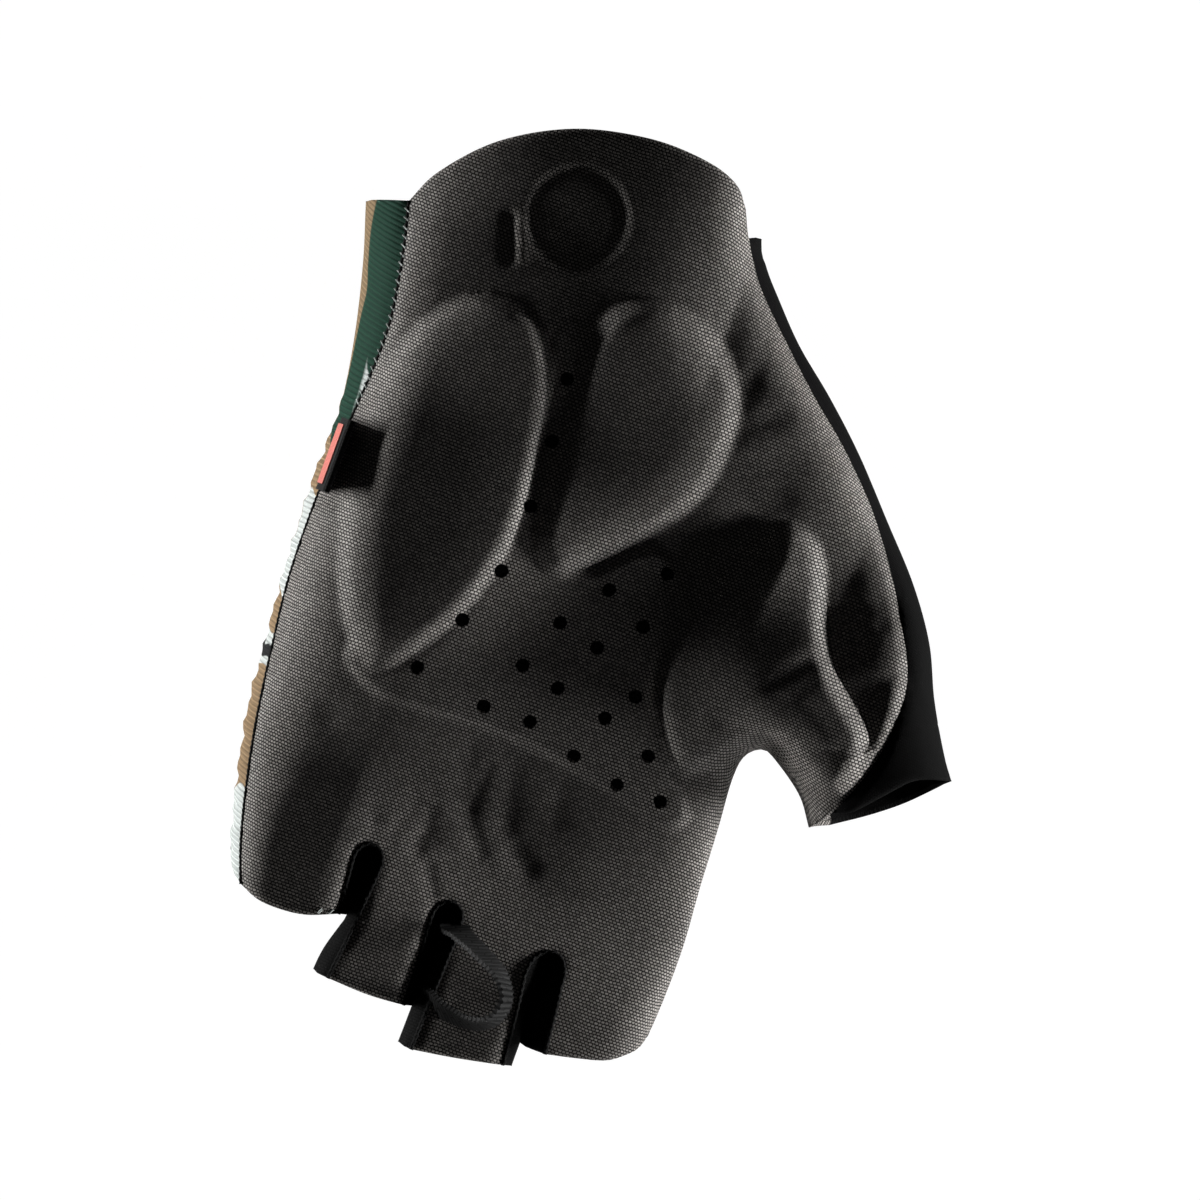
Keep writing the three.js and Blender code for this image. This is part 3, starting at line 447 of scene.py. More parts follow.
creases = [(evenly(np.array(path, float), 2.0), depth, width) for path, depth, width in creases]


def palm_relief(points):
    """What shows through the leather: foam, pads, the recess and creases."""
    foam = smooth(depth_in(foam_loop, points), *FOAM_EDGE) * smooth(points[:, 1], *FOAM_FADE)
    swell = np.zeros(len(points))
    for name, loop in pad_loops.items():
        depth = depth_in(loop, points)
        step, near, far = PAD_SHOULDERS[name]
        width = near + (far - near) * smooth(points[:, 0] - loop[:, 0].mean(), -PAD_MIDDLE, PAD_MIDDLE)
        shoulder = 1 - (1 - np.clip((depth + PAD_SKIRT) / width, 0, 1)) ** SHOULDER_POWER
        dome = np.clip(depth / DOME_REACH, 0, 1)
        foam = np.maximum(foam, smooth(depth, -PAD_SKIRT, 2.5))
        swell = np.maximum(swell, step * shoulder + PAD_SWELL * dome * (2 - dome))
    rise = FOAM_STEP * foam + swell
    off_badge = np.linalg.norm(points - BADGE, axis=1)
    rise -= BADGE_SINK * smooth(BADGE_RADIUS - off_badge, -BADGE_SOFT, BADGE_SOFT)
    rise -= BADGE_GROOVE * np.exp(-(((off_badge - BADGE_RADIUS + GROOVE_IN) / GROOVE_HALF) ** 2))
    for path, depth, width in creases:
        rise -= depth * np.exp(-((distance(path, points) / width) ** 2))
    return rise


def crown(points):
    """The hand's own form: an arched wrist, a mound along the little finger's side and a hollow palm."""
    x, y = points[:, 0], points[:, 1]
    wrist = smooth(y, *WRIST)
    arch = WRIST_DROP * np.clip(np.abs(x - WRIST_MIDDLE) / WRIST_HALF, 0, ARCH_LIMIT) ** ARCH_POWER
    start = through(MOUND_EDGE, y)
    share = np.clip((x - start) / (MOUND_TO - start), 0, 1) ** MOUND_POWER
    side = np.clip((x - SIDE_FROM) / SIDE_SPAN, 0, 1) ** 2
    palm = through(HOLLOW, y) * smooth(share, 0, 1) + SIDE_DROP * side
    form = MOUND_RISE - arch * wrist - palm * (1 - wrist)
    return form * (1 - thumb_share(points))


def top_height(points, folds, relief=True):
    middle, half = middle_and_half(points)
    height = middle + (half + crown(points)) * round_off(points, folds, TOP_POWER)
    if relief:
        clear = np.min([distance(fold, points) for fold in folds], axis=0)
        height += palm_relief(points) * smooth(clear, *RELIEF_FADE)
    return height


def under_height(points, folds):
    middle, half = middle_and_half(points)
    return np.maximum(middle - half * round_off(points, folds, UNDER_POWER), 0.02)


# %% [markdown]
# ## Cloth coordinates
# A weave keeps its size on the cloth, so it looks crowded where the cloth turns away. Each point
# therefore stores where it lies on the flat panel: its place in plan, moved out past the nearest fold by
# how far the rounding lowers it there. The materials read that instead of the plan.

# %% Places on the cloth
OUTWARD = 0.85  # of a point's drop that its place on the cloth moves out
CALM_OVER = 14  # points of a fold to each side, over which its ripples are evened out
outer_folds = [ulnar_fold, radial_fold, web_fold]


def outward_of(fold):
    """The direction out of the hand at each point of a fold: towards -x at the little finger's side."""
    longer = np.pad(fold, ((CALM_OVER, CALM_OVER), (0, 0)), mode="reflect", reflect_type="odd")
    share = np.full(2 * CALM_OVER + 1, 1 / (2 * CALM_OVER + 1))
    calm = np.column_stack([np.convolve(longer[:, k], share, "valid") for k in (0, 1)])
    along = np.gradient(calm, axis=0)
    out = unit(np.column_stack([along[:, 1], -along[:, 0]]))
    wanted = -1 if fold is ulnar_fold else 1
    return out if out[fold[:, 1].argmin(), 0] * wanted > 0 else -out


outward_ways = [outward_of(fold) for fold in outer_folds]


def cloth_places(points, top=True):
    """Places on the flat cloth. The way out is blended from the nearest points of the nearest fold."""
    _, half = middle_and_half(points)
    full, power = (half + crown(points), TOP_POWER) if top else (half, UNDER_POWER)
    drop = full * (1 - round_off(points, outer_folds, power))
    nearest = np.argmin([distance(fold, points) for fold in outer_folds], axis=0)
    places = points.copy()
    for k, (fold, ways) in enumerate(zip(outer_folds, outward_ways)):
        for block in np.array_split(np.flatnonzero((nearest == k) & (drop > 0.01)), 24):
            apart = ((points[block][:, None] - fold) ** 2).sum(2)
            way = unit((apart + 0.5) ** -3.0 @ ways)
            places[block] += OUTWARD * drop[block][:, None] * way
    return np.column_stack([places, np.zeros(len(points))])


print("cloth at the cuff's corner:", cloth_places(np.array([CUFF_LEFT])).round(1)[0, :2])

# %% [markdown]
# ## From outline to panel
# Blender's constrained triangulation fills an outline with even triangles, keeps its edges and leaves
# real holes for the perforations. Rows of points close to folds and cuts give the tight rounding there
# enough faces. The palm side and the back of one panel are welded along their common fold. Last, the
# sheet gets its thickness inwards, with a closed rim.

# %% Filling an outline
FOLD_ROWS = (0.05, 0.2, 0.5, 0.95, 1.6, 2.4)
CUT_ROWS = (0.12, 0.4, 0.8)
ROWS = {"fold": FOLD_ROWS, "cut": CUT_ROWS}


def honeycomb(low, high, step):
    rows = np.arange(low[1], high[1], step * math.sqrt(3) / 2)
    columns = np.arange(low[0], high[0], step)
    x, y = np.meshgrid(columns, rows)
    x[1::2] += step / 2
    return np.column_stack([x.ravel(), y.ravel()])


def filling_points(parts, outline, step):
    turn = winding(outline)
    spread = honeycomb(outline.min(0), outline.max(0), step)
    spread = spread[inside(outline, spread)]
    clear = distance(closed_loop(outline), spread) > 0.55 * step
    rows = []
    for path, kind in parts:
        if kind not in ROWS:
            continue
        clear &= distance(path, spread) > ROWS[kind][-1] + 0.5 * step
        for away in ROWS[kind]:
            row = beside(path, turn * away)
            keep = inside(outline, row)
            for other, _ in parts:
                if other is not path:
                    keep &= distance(other, row) > 0.45
            rows.append(row[keep])
    return np.vstack([spread[clear], *rows])


def flat_panel(parts, step, holes=(), guides=()):
    """Points and triangles that fill an outline. Holes stay open, and points of the guides are kept."""
    outline = np.vstack([path[:-1] for path, _ in parts])
    filling = filling_points(parts, outline, step)
    for guide in guides:
        guide = guide[depth_in(outline, guide) > 0.4]
        if len(guide) < 2:
            continue
        filling = np.vstack([filling[distance(guide, filling) > 0.45 * step], guide])
    for hole in holes:
        away = depth_in(hole, filling)
        filling = filling[away < -0.4]
    loops = [outline, *holes]
    edges = []
    for loop in loops:
        start = sum(len(other) for other in loops[: len(edges)])
        edges.append([(start + k, start + (k + 1) % len(loop)) for k in range(len(loop))])
    places = [Vector(p) for p in np.vstack([*loops, filling])]
    found = delaunay_2d_cdt(places, [edge for loop in edges for edge in loop], [], 0, 1e-5)
    points, faces = np.array([tuple(p) for p in found[0]]), np.array(found[2])
    centres = points[faces].mean(1)
    keep = inside(outline, centres)
    for hole in holes:
        keep &= ~inside(hole, centres)
    return points, faces[keep]


# %% Building a sheet
ROLL = 0.8  # radius of a cut edge


def roll_in(points, parts):
    """How far the cloth turns in at its cut edges."""
    cuts = [path for path, kind in parts if kind == "cut"]
    if not cuts:
        return np.zeros(len(points))
    away = np.min([distance(path, points) for path in cuts], axis=0)
    return ROLL - np.sqrt(ROLL**2 - np.clip(ROLL - away, 0, ROLL) ** 2)


def weld(points, faces, cloth):
    _, first, same = np.unique(points.round(3), axis=0, return_index=True, return_inverse=True)
    faces = same.reshape(-1)[faces]
    distinct = (faces != np.roll(faces, 1, axis=1)).all(1)
    return points[first], faces[distinct], cloth[first]


def vertex_normals(points, faces):
    a, b, c = points[faces[:, 0]], points[faces[:, 1]], points[faces[:, 2]]
    across = np.cross(b - a, c - a)
    normals = np.zeros_like(points)
    for k in range(3):
        np.add.at(normals, faces[:, k], across)
    return normals / np.maximum(np.linalg.norm(normals, axis=1), 1e-12)[:, None]


def rim_edges(faces):
    edges = np.vstack([faces[:, [0, 1]], faces[:, [1, 2]], faces[:, [2, 0]]])
    _, which, count = np.unique(np.sort(edges, axis=1), axis=0, return_inverse=True, return_counts=True)
    return edges[count[which.reshape(-1)] == 1]


def both_sides(faces, count):
    """Faces of a closed sheet, whose inner points come count places after the outer ones."""
    walls = [(int(b), int(a), int(a) + count, int(b) + count) for a, b in rim_edges(faces)]
    return faces.tolist() + (faces[:, ::-1] + count).tolist() + walls


def facing(plan, triangles, up):
    """The same triangles, wound to face up or down."""
    spans = plan[triangles][:, 1:] - plan[triangles][:, :1]
    upward = spans[:, 0, 0] * spans[:, 1, 1] - spans[:, 0, 1] * spans[:, 1, 0] > 0
    return np.where((upward == up)[:, None], triangles, triangles[:, ::-1])


def thicken(points, faces, wall, sink=0.0):
    normals = vertex_normals(points, faces)
    outer, inner = points - sink * normals, points - (sink + wall) * normals
    return np.vstack([outer, inner]), both_sides(faces, len(points))


SHARP = math.radians(48)


def new_piece(name, points, faces, material, cloth=None):
    mesh = bpy.data.meshes.new(name)
    mesh.from_pydata((points * MM).tolist(), [], faces)
    if cloth is not None:
        layer = mesh.attributes.new("cloth", "FLOAT_VECTOR", "POINT")
        layer.data.foreach_set("vector", cloth.astype(np.float32).ravel())
    mesh.materials.append(material)
    mesh.validate()
    mesh.shade_smooth()
    mesh.set_sharp_from_angle(angle=SHARP)
    piece = bpy.data.objects.new(name, mesh)
    scene.collection.objects.link(piece)
    return piece


panel_areas = {}
CLOTH = "_cloth"  # ending of a panel's name, after the node that it stands for


def panel(
    name, material, top=None, under=None, folds=None,
    wall=1.1, sink=0.0, step=1.2, holes=(), relief=True, guides=(),
):
    """A cloth panel. Its palm side and its back each have a plan of (path, kind) stretches."""
    folds = folds or hand_folds
    points, faces, cloth = [], [], []
    for parts, is_top in ((top, True), (under, False)):
        if parts is None:
            continue
        plan, triangles = flat_panel(parts, step, holes if is_top else (), guides)
        if is_top:
            height = top_height(plan, folds, relief) - roll_in(plan, parts)
        else:
            height = under_height(plan, folds) + roll_in(plan, parts)
        faces.append(facing(plan, triangles, is_top) + sum(len(p) for p in points))
        points.append(np.column_stack([plan, height]))
        cloth.append(cloth_places(plan, is_top))
    points, faces, cloth = weld(np.vstack(points), np.vstack(faces), np.vstack(cloth))
    a, b, c = (points[faces[:, k]] for k in range(3))
    solid, every = thicken(points, faces, wall, sink)
    piece = new_piece(name + CLOTH, solid, every, material, np.vstack([cloth, cloth]))
    panel_areas[piece.name] = float(np.linalg.norm(np.cross(b - a, c - a), axis=1).sum() / 2)
    print(name, len(every), "faces,", round(panel_areas[piece.name]), "mm2")
    return piece


# %% [markdown]
# ## Fastening a panel to the frame
# Each panel stands for a node of the frame, whose own part is then hidden, and carries the finish it was
# built with. Panels of the hand ride on its body, while a finger's panels only have their transform baked
# in place. The area of each cloth panel is measured and printed as it is built.

# %% Fastening
BENDS = {  # where a finger's panels start to bend, and where they follow the finger alone
    "little": ((-35, -60.7, 15), (-35, -69.5, 15)),
    "ring": ((-14, -66.5, 15), (-14, -77, 15)),
    "middle": ((5.2, -69.5, 15), (5.2, -80, 15)),
    "index": ((27.4, -69.5, 15), (27.4, -78.5, 15)),
    "thumb": tuple((*thumb_point(15, THUMB_BASE + along), THUMB_MIDDLE) for along in (0.2, 9)),
}


def metres(place):
    return tuple(float(value) * MM for value in place)


def follow(piece, finger=None):
    """A piece off the fingers rides on the hand; a finger's piece only has its transform baked in."""
    if finger is None:
        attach(piece, "hand")
        return
    start, end = BENDS[finger]
    metres(start)
    metres(end)
    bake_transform(piece)


def fasten(piece, finger=None):
    """Hides the frame's part that a panel stands for, and passes the panel on to follow."""
    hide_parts(piece.name.removesuffix(CLOTH))
    follow(piece, finger)


# %% [markdown]
# ## Finishes
# All finishes are built from Blender's own textures, on the cloth coordinates. Helpers place nodes and
# wire them by name, and effects that several finishes share are node groups.

# %% Node helpers
def place(tree, kind, inputs=None, **settings):
    node = tree.nodes.new(kind)
    for key, value in settings.items():
        setattr(node, key, value)
    for key, value in (inputs or {}).items():
        if isinstance(value, bpy.types.NodeSocket):
            tree.links.new(value, node.inputs[key])
        else:
            node.inputs[key].default_value = value
    return node


def maths(tree, operation, first, second=0.0, third=0.0):
    inputs = {0: first, 1: second, 2: third}
    return place(tree, "ShaderNodeMath", inputs, operation=operation).outputs[0]


def clamped(tree, value):
    return place(tree, "ShaderNodeClamp", {"Value": value}).outputs[0]


def mixed(tree, share, first, second, blend="MIX"):
    node = tree.nodes.new("ShaderNodeMix")
    node.data_type = "RGBA"
    node.blend_type = blend
    for key, value in ((0, share), (6, first), (7, second)):
        if isinstance(value, bpy.types.NodeSocket):
            tree.links.new(value, node.inputs[key])
        else:
            node.inputs[key].default_value = value
    return node.outputs[2]


def grey(level, warmth=1.0):
    return (level, level / warmth, level / warmth**2, 1)


def new_group(name, inputs, outputs):
    group = bpy.data.node_groups.new(name, "ShaderNodeTree")
    for key, kind, value in inputs:
        socket = group.interface.new_socket(key, in_out="INPUT", socket_type=kind)
        if value is not None:
            socket.default_value = value
    for key, kind in outputs:
        group.interface.new_socket(key, in_out="OUTPUT", socket_type=kind)
    return group, group.nodes.new("NodeGroupInput"), group.nodes.new("NodeGroupOutput")


def new_finish(name, roughness, sheen=0.0):
    material = bpy.data.materials.new(name)
    material.use_nodes = True
    tree = material.node_tree
    shader = tree.nodes["Principled BSDF"]
    shader.inputs["Roughness"].default_value = roughness
    shader.inputs["Sheen Weight"].default_value = sheen
    cloth = place(tree, "ShaderNodeAttribute", attribute_name="cloth").outputs["Vector"]
    return material, tree, shader, cloth


def raise_bump(tree, shader, height, strength, depth):
    bump = place(tree, "ShaderNodeBump", {"Height": height, "Strength": strength, "Distance": depth * MM})
    tree.links.new(bump.outputs["Normal"], shader.inputs["Normal"])


# %% Woven rows
rows_group, rows_in, rows_out = new_group(
    "woven_rows",
    [
        ("Cloth", "NodeSocketVector", None),
        ("Row", "NodeSocketFloat", 0.75),
        ("Dash", "NodeSocketFloat", 1.0),
        ("Gap", "NodeSocketFloat", 0.15),
        ("Wander", "NodeSocketFloat", 0.2),
    ],
    [("Thread", "NodeSocketFloat"), ("Tone", "NodeSocketFloat")],
)
on_cloth = rows_in.outputs["Cloth"]
wander = place(rows_group, "ShaderNodeTexNoise", {"Vector": on_cloth, "Scale": 0.35, "Detail": 2.0})
drift = place(
    rows_group, "ShaderNodeVectorMath", {0: wander.outputs["Color"], 1: (0.5, 0.5, 0.5)},
    operation="SUBTRACT",
)
pull = place(rows_group, "ShaderNodeVectorMath", {0: drift.outputs[0]}, operation="SCALE")
rows_group.links.new(rows_in.outputs["Wander"], pull.inputs["Scale"])
moved = place(rows_group, "ShaderNodeVectorMath", {0: on_cloth, 1: pull.outputs[0]}, operation="ADD")
bricks = place(
    rows_group, "ShaderNodeTexBrick",
    {
        "Vector": moved.outputs[0], "Scale": 1.0,
        "Color1": grey(0.0), "Color2": grey(1.0), "Mortar": grey(0.0),
        "Mortar Size": rows_in.outputs["Gap"], "Mortar Smooth": 0.7,
        "Brick Width": rows_in.outputs["Dash"], "Row Height": rows_in.outputs["Row"],
    },
    offset=0.5,
)
rows_group.links.new(maths(rows_group, "SUBTRACT", 1.0, bricks.outputs["Fac"]), rows_out.inputs["Thread"])
rows_group.links.new(bricks.outputs["Color"], rows_out.inputs["Tone"])


def woven(tree, cloth, row, dash, gap, wander):
    """Thread, 0 to 1, and a tone for each dash of thread. The sizes are in mm of cloth."""
    node = place(tree, "ShaderNodeGroup", node_tree=rows_group)
    tree.links.new(cloth, node.inputs["Cloth"])
    for key, value in (("Row", row), ("Dash", dash), ("Gap", gap), ("Wander", wander)):
        node.inputs[key].default_value = value
    return node.outputs["Thread"], node.outputs["Tone"]


# %% Palm leather
leather, tree, shader, cloth = new_finish("palm_leather", 0.62)
shader.inputs["Specular IOR Level"].default_value = 0.15
thread, tone = woven(tree, cloth, row=0.58, dash=0.76, gap=0.165, wander=0.5)
cloudy = place(tree, "ShaderNodeTexNoise", {"Vector": cloth, "Scale": 0.06, "Detail": 4.0}).outputs["Fac"]
bright = mixed(tree, tone, grey(0.21, 1.07), grey(0.38, 1.07))
ground = grey(0.0055, 1.05)
surface = mixed(tree, thread, ground, bright)
shade = maths(tree, "MULTIPLY_ADD", cloudy, 0.5, 0.75)
surface = mixed(tree, 1.0, surface, shade, "MULTIPLY")
tree.links.new(surface, shader.inputs["Base Color"])
tree.links.new(maths(tree, "MULTIPLY_ADD", thread, -0.12, 0.7), shader.inputs["Roughness"])
raise_bump(tree, shader, thread, 0.12, 0.2)
print("finish:", leather.name)

# %% Black cloths
def black_cloth(name, level, row, dash, gap, roughness, sheen):
    """A dark woven cloth: how light it is, its weave in mm, and its shine."""
    material, tree, shader, cloth = new_finish(name, roughness, sheen)
    shader.inputs["Specular IOR Level"].default_value = 0.06
    thread, _ = woven(tree, cloth, row, dash, gap, wander=0.3)
    fluff = place(tree, "ShaderNodeTexNoise", {"Vector": cloth, "Scale": 1.6, "Detail": 5.0}).outputs["Fac"]
    dye = mixed(tree, thread, grey(level * 0.4), grey(level * 1.3))
    dye = mixed(tree, 1.0, dye, maths(tree, "MULTIPLY_ADD", fluff, 0.6, 0.7), "MULTIPLY")
    tree.links.new(dye, shader.inputs["Base Color"])
    tree.links.new(maths(tree, "MULTIPLY_ADD", fluff, 0.2, roughness - 0.1), shader.inputs["Roughness"])
    raise_bump(tree, shader, maths(tree, "MULTIPLY_ADD", fluff, 0.5, thread), 0.5, 0.2)
    return material


microfibre = black_cloth("thumb_microfibre", 0.0022, 0.5, 0.5, 0.1, 0.85, 0.0)
stretch = black_cloth("side_stretch", 0.0035, 0.55, 0.8, 0.1, 0.8, 0.0)
tape = black_cloth("hem_tape", 0.004, 0.6, 2.4, 0.12, 0.7, 0.0)
jersey = black_cloth("lining_jersey", 0.05, 0.7, 0.6, 0.14, 0.9, 0.2)
foam_finish = black_cloth("foam", 0.02, 0.9, 0.9, 0.1, 0.9, 0.0)

# %% Printed knit
knit, tree, shader, cloth = new_finish("printed_knit", 0.8)
shader.inputs["Specular IOR Level"].default_value = 0.2
GREEN, TAN = (0.008, 0.047, 0.028, 1), (0.30, 0.205, 0.115, 1)
WHITE, BLACK = (0.62, 0.66, 0.64, 1), (0.012, 0.012, 0.014, 1)
BANDS = [  # from the cuff down: below this place along the hand, this colour
    (13.5, TAN), (3, WHITE), (-16.5, TAN), (-26.5, WHITE), (-29, BLACK), (-32, WHITE),
    (-34, TAN), (-57, WHITE), (-84, GREEN), (-92, TAN),
]
PATCH = [(32.0, WHITE), (27.0, GREEN)]  # the same for the pale patch beside the seam

apart = place(tree, "ShaderNodeSeparateXYZ", {0: cloth})
TURN = -66.8  # across the cloth, past which it is tan
CALM = -66.0  # across the cloth, where the print's bands lie straight
SLIVER = -58.6  # across the cloth, where the pale patch beside the seam ends
wild = place(
    tree, "ShaderNodeMapRange",
    {"Value": apart.outputs["X"], "From Min": CALM, "From Max": CALM + 22, "To Min": 9.0, "To Max": 95.0},
).outputs[0]
blotch = place(
    tree, "ShaderNodeTexNoise",
    {"Vector": cloth, "Scale": 0.036, "Detail": 1.6, "Roughness": 0.45, "Distortion": 0.7},
).outputs["Fac"]
shifted = maths(tree, "SUBTRACT", blotch, 0.5)
level = maths(tree, "MULTIPLY_ADD", shifted, wild, apart.outputs["Y"])
sliver = clamped(tree, maths(tree, "SUBTRACT", apart.outputs["X"], SLIVER))
colour = GREEN
for edge, dye in PATCH:
    past = maths(tree, "MULTIPLY", maths(tree, "SUBTRACT", edge, level), 2.0)
    share = maths(tree, "MULTIPLY", clamped(tree, past), sliver)
    colour = mixed(tree, share, colour, dye)
for edge, dye in BANDS:
    past = maths(tree, "MULTIPLY", maths(tree, "SUBTRACT", edge, level), 3.0)
    colour = mixed(tree, clamped(tree, past), colour, dye)
edge = maths(tree, "MULTIPLY_ADD", shifted, 8.0, apart.outputs["X"])
turned = maths(tree, "MULTIPLY", maths(tree, "SUBTRACT", TURN, edge), 2.0)
turned = maths(tree, "MULTIPLY", clamped(tree, turned), 0.9)
colour = mixed(tree, turned, colour, TAN)
rib = place(
    tree, "ShaderNodeTexWave", {"Vector": cloth, "Scale": 0.32, "Distortion": 0.6, "Detail": 1.0},
    bands_direction="Y",
).outputs["Fac"]
thread, _ = woven(tree, cloth, row=0.5, dash=0.55, gap=0.1, wander=0.2)
colour = mixed(tree, 1.0, colour, maths(tree, "MULTIPLY_ADD", rib, 0.35, 0.7), "MULTIPLY")
colour = mixed(tree, 1.0, colour, maths(tree, "MULTIPLY_ADD", thread, 0.3, 0.75), "MULTIPLY")
tree.links.new(colour, shader.inputs["Base Color"])
raise_bump(tree, shader, maths(tree, "MULTIPLY_ADD", thread, 0.35, rib), 0.6, 0.35)
print("finish:", knit.name)

# %% [markdown]
# ## Palm
# The palm is one sheet of coated weave. It runs from the domed wrist flap to the roots of the fingers, and
# turns under along the index finger and the thumb's web. The perforations are holes in the mesh, so that
# the dark foam shows in them.

# %% Palm panel
hole_places = [
    (-17.9, 36.6), (-16.6, 24.9), (-16.2, 12.4), (-17.2, -0.6), (-20.9, -11.5), (-25.7, -22.6), (11.7, 9.4),
    (2.6, 2.9), (-3.8, -5.9), (-7.6, -15.6), (-11.8, -25.2), (10.8, -1.4), (4.2, -7.9), (-0.1, -17.4),
    (-2.8, -25), (10, -19.6), (7, -28.2), (13.9, -14), (16.3, -30.5), (19.9, -23.5), (24.9, -30.7),
]
HOLE_RADIUS = 1.3
around = np.linspace(0, 2 * math.pi, 14, endpoint=False)
hole_ring = HOLE_RADIUS * np.column_stack([np.cos(around), np.sin(around)])
perforations = [hole_ring + place_of_hole for place_of_hole in hole_places]

palm_outline = [
    (flap_edge, "cut"),
    (between(radial_seam, flap_edge[-1], CUFF_LAP), "cut"),
    (between(radial_seam, CUFF_LAP, thumb_seam_base), "seam"),
    (line(thumb_seam_base, thumb_inner), "seam"),
    (between(web_fold, thumb_inner, index_root[1]), "fold"),
    (line(index_root[1], index_root[0]), "seam"),
    (crotches[2][::-1], "seam"),
    (line(middle_root[1], middle_root[0]), "seam"),
    (crotches[1][::-1], "seam"),
    (line(ring_root[1], ring_root[0]), "seam"),
    (crotches[0][::-1], "seam"),
    (line(little_root[1], little_root[0]), "seam"),
    (between(ulnar_seam, little_root[0], flap_edge[0]), "seam"),
]
web_turn = [
    (between(web_fold, index_root[1], thumb_inner), "fold"),
    (line(thumb_inner, thumb_lip), "seam"),
    (between(web_lip, thumb_lip, index_lip_root), "seam"),
    (line(index_lip_root, index_root[1]), "seam"),
]
guides = [closed_loop(loop) for loop in pad_loops.values()]
guides += [beside(guide, side * 0.9) for guide in guides for side in (-1, 1)]
ring = np.linspace(0, 2 * math.pi, 72)
for radius in (-1.6, -0.8, -0.1, 0.6):
    guides.append(BADGE + (BADGE_RADIUS + radius) * np.column_stack([np.cos(ring), np.sin(ring)]))
palm = panel("palm_panel", leather, palm_outline, web_turn, step=0.85, holes=perforations, guides=guides)
fasten(palm)

# %% [markdown]
# ## Back and thumb gusset
# The knit back starts at the palm's seam on the little finger's side, turns round the fold and covers the
# back of the hand. The microfibre gusset does the same on the thumb's side.

# %% Back panel and gusset
back_lip = [
    (line(CUFF_LEFT, flap_edge[0]), "cut"),
    (between(ulnar_seam, flap_edge[0], little_root[0]), "seam"),
    (line(little_root[0], ulnar_root), "seam"),
    (between(ulnar_fold, ulnar_root, CUFF_LEFT), "fold"),
]
back_under = [
    (line(CUFF_SEAM, CUFF_LEFT), "cut"),
    (between(ulnar_fold, CUFF_LEFT, ulnar_root), "fold"),
    (line(ulnar_root, little_root[1]), "seam"),
    (crotches[0], "seam"),
    (line(*ring_root), "seam"),
    (crotches[1], "seam"),
    (line(*middle_root), "seam"),
    (crotches[2], "seam"),
    (line(index_root[0], index_lip_root), "seam"),
    (between(web_lip, index_lip_root, gusset_seam[-1]), "seam"),
    (gusset_seam[::-1], "seam"),
]
back = panel("back_panel", knit, back_lip, back_under, step=1.5)
fasten(back)

gusset_lip = [
    (line(CUFF_LAP, CUFF_RIGHT), "cut"),
    (between(radial_fold, CUFF_RIGHT, thumb_outer), "fold"),
    (line(thumb_outer, thumb_seam_base), "seam"),
    (between(radial_seam, thumb_seam_base, CUFF_LAP), "seam"),
]
gusset_under = [
    (line(CUFF_RIGHT, CUFF_SEAM), "cut"),
    (gusset_seam, "seam"),
    (between(web_lip, gusset_seam[-1], thumb_lip), "seam"),
    (line(thumb_lip, thumb_outer), "seam"),
    (between(radial_fold, thumb_outer, CUFF_RIGHT), "fold"),
]
gusset = panel("thumb_gusset", microfibre, gusset_lip, gusset_under, step=1.5)
fasten(gusset)

# %% [markdown]
# ## Fingers
# Each finger is a short tube: a leather front, a knit back, black stretch strips along the sides that
# face another finger, and a tape that hems the open end from inside. Front and back share their plan, and
# the strips run from the front's edge round the fold to the back's edge.

# %% Finger plans
ends = {
    "little": curve([(-24, -70.6), (-30.6, -73), (-38, -73.3), ulnar_seam[-1]]),
    "ring": curve([(-6.9, -82.4), (-14, -82.8), (-21.8, -82.4)]),
    "middle": curve([(14.2, -86.6), (5, -88.4), (-2.8, -89.6)]),
    "index": curve([
        on(web_fold, (37.8, -72.6)), (36.9, -75.2), (35.2, -77), (31.9, -79.3), (26, -80.9), (20.8, -82),
    ]),
}
edge_right = {
    "little": curve([little_root[1], (-24.5, -65), ends["little"][0]]),
    "ring": curve([ring_root[1], (-7.2, -72.4), ends["ring"][0]]),
    "middle": curve([middle_root[1], (13.4, -78), ends["middle"][0]]),
}
edge_left = {
    "ring": curve([ring_root[0], (-20.6, -72), ends["ring"][-1]]),
    "middle": curve([middle_root[0], (-2.4, -78), ends["middle"][-1]]),
    "index": curve([index_root[0], (20.1, -75), ends["index"][-1]]),
}
roots = {"ring": ring_root, "middle": middle_root}


def side_strip(edge, fold):
    """Plan of a side strip, between the front's edge and the fold."""
    root, tip = on(fold, edge[0]), on(fold, edge[-1])
    return [
        (edge, "seam"),
        (line(edge[-1], tip), "cut"),
        (between(fold, tip, root), "fold"),
        (line(root, edge[0]), "seam"),
    ]


# %% Ring and middle finger
for finger in ("ring", "middle"):
    outline = [
        (line(*roots[finger]), "seam"),
        (edge_right[finger], "seam"),
        (ends[finger], "cut"),
        (edge_left[finger][::-1], "seam"),
    ]
    folds = finger_folds[finger]
    front = panel(f"{finger}_front", leather, top=outline, folds=folds)
    fasten(front, finger)
    rear = panel(f"{finger}_back", knit, under=outline, folds=folds, relief=False)
    fasten(rear, finger)
    sides = {"ulnar": (edge_left[finger], folds[0]), "radial": (edge_right[finger], folds[1])}
    for side, (edge, fold) in sides.items():
        strip = side_strip(edge, fold)
        made = panel(f"{finger}_{side}_side", stretch, strip, strip, folds, relief=False)
        fasten(made, finger)

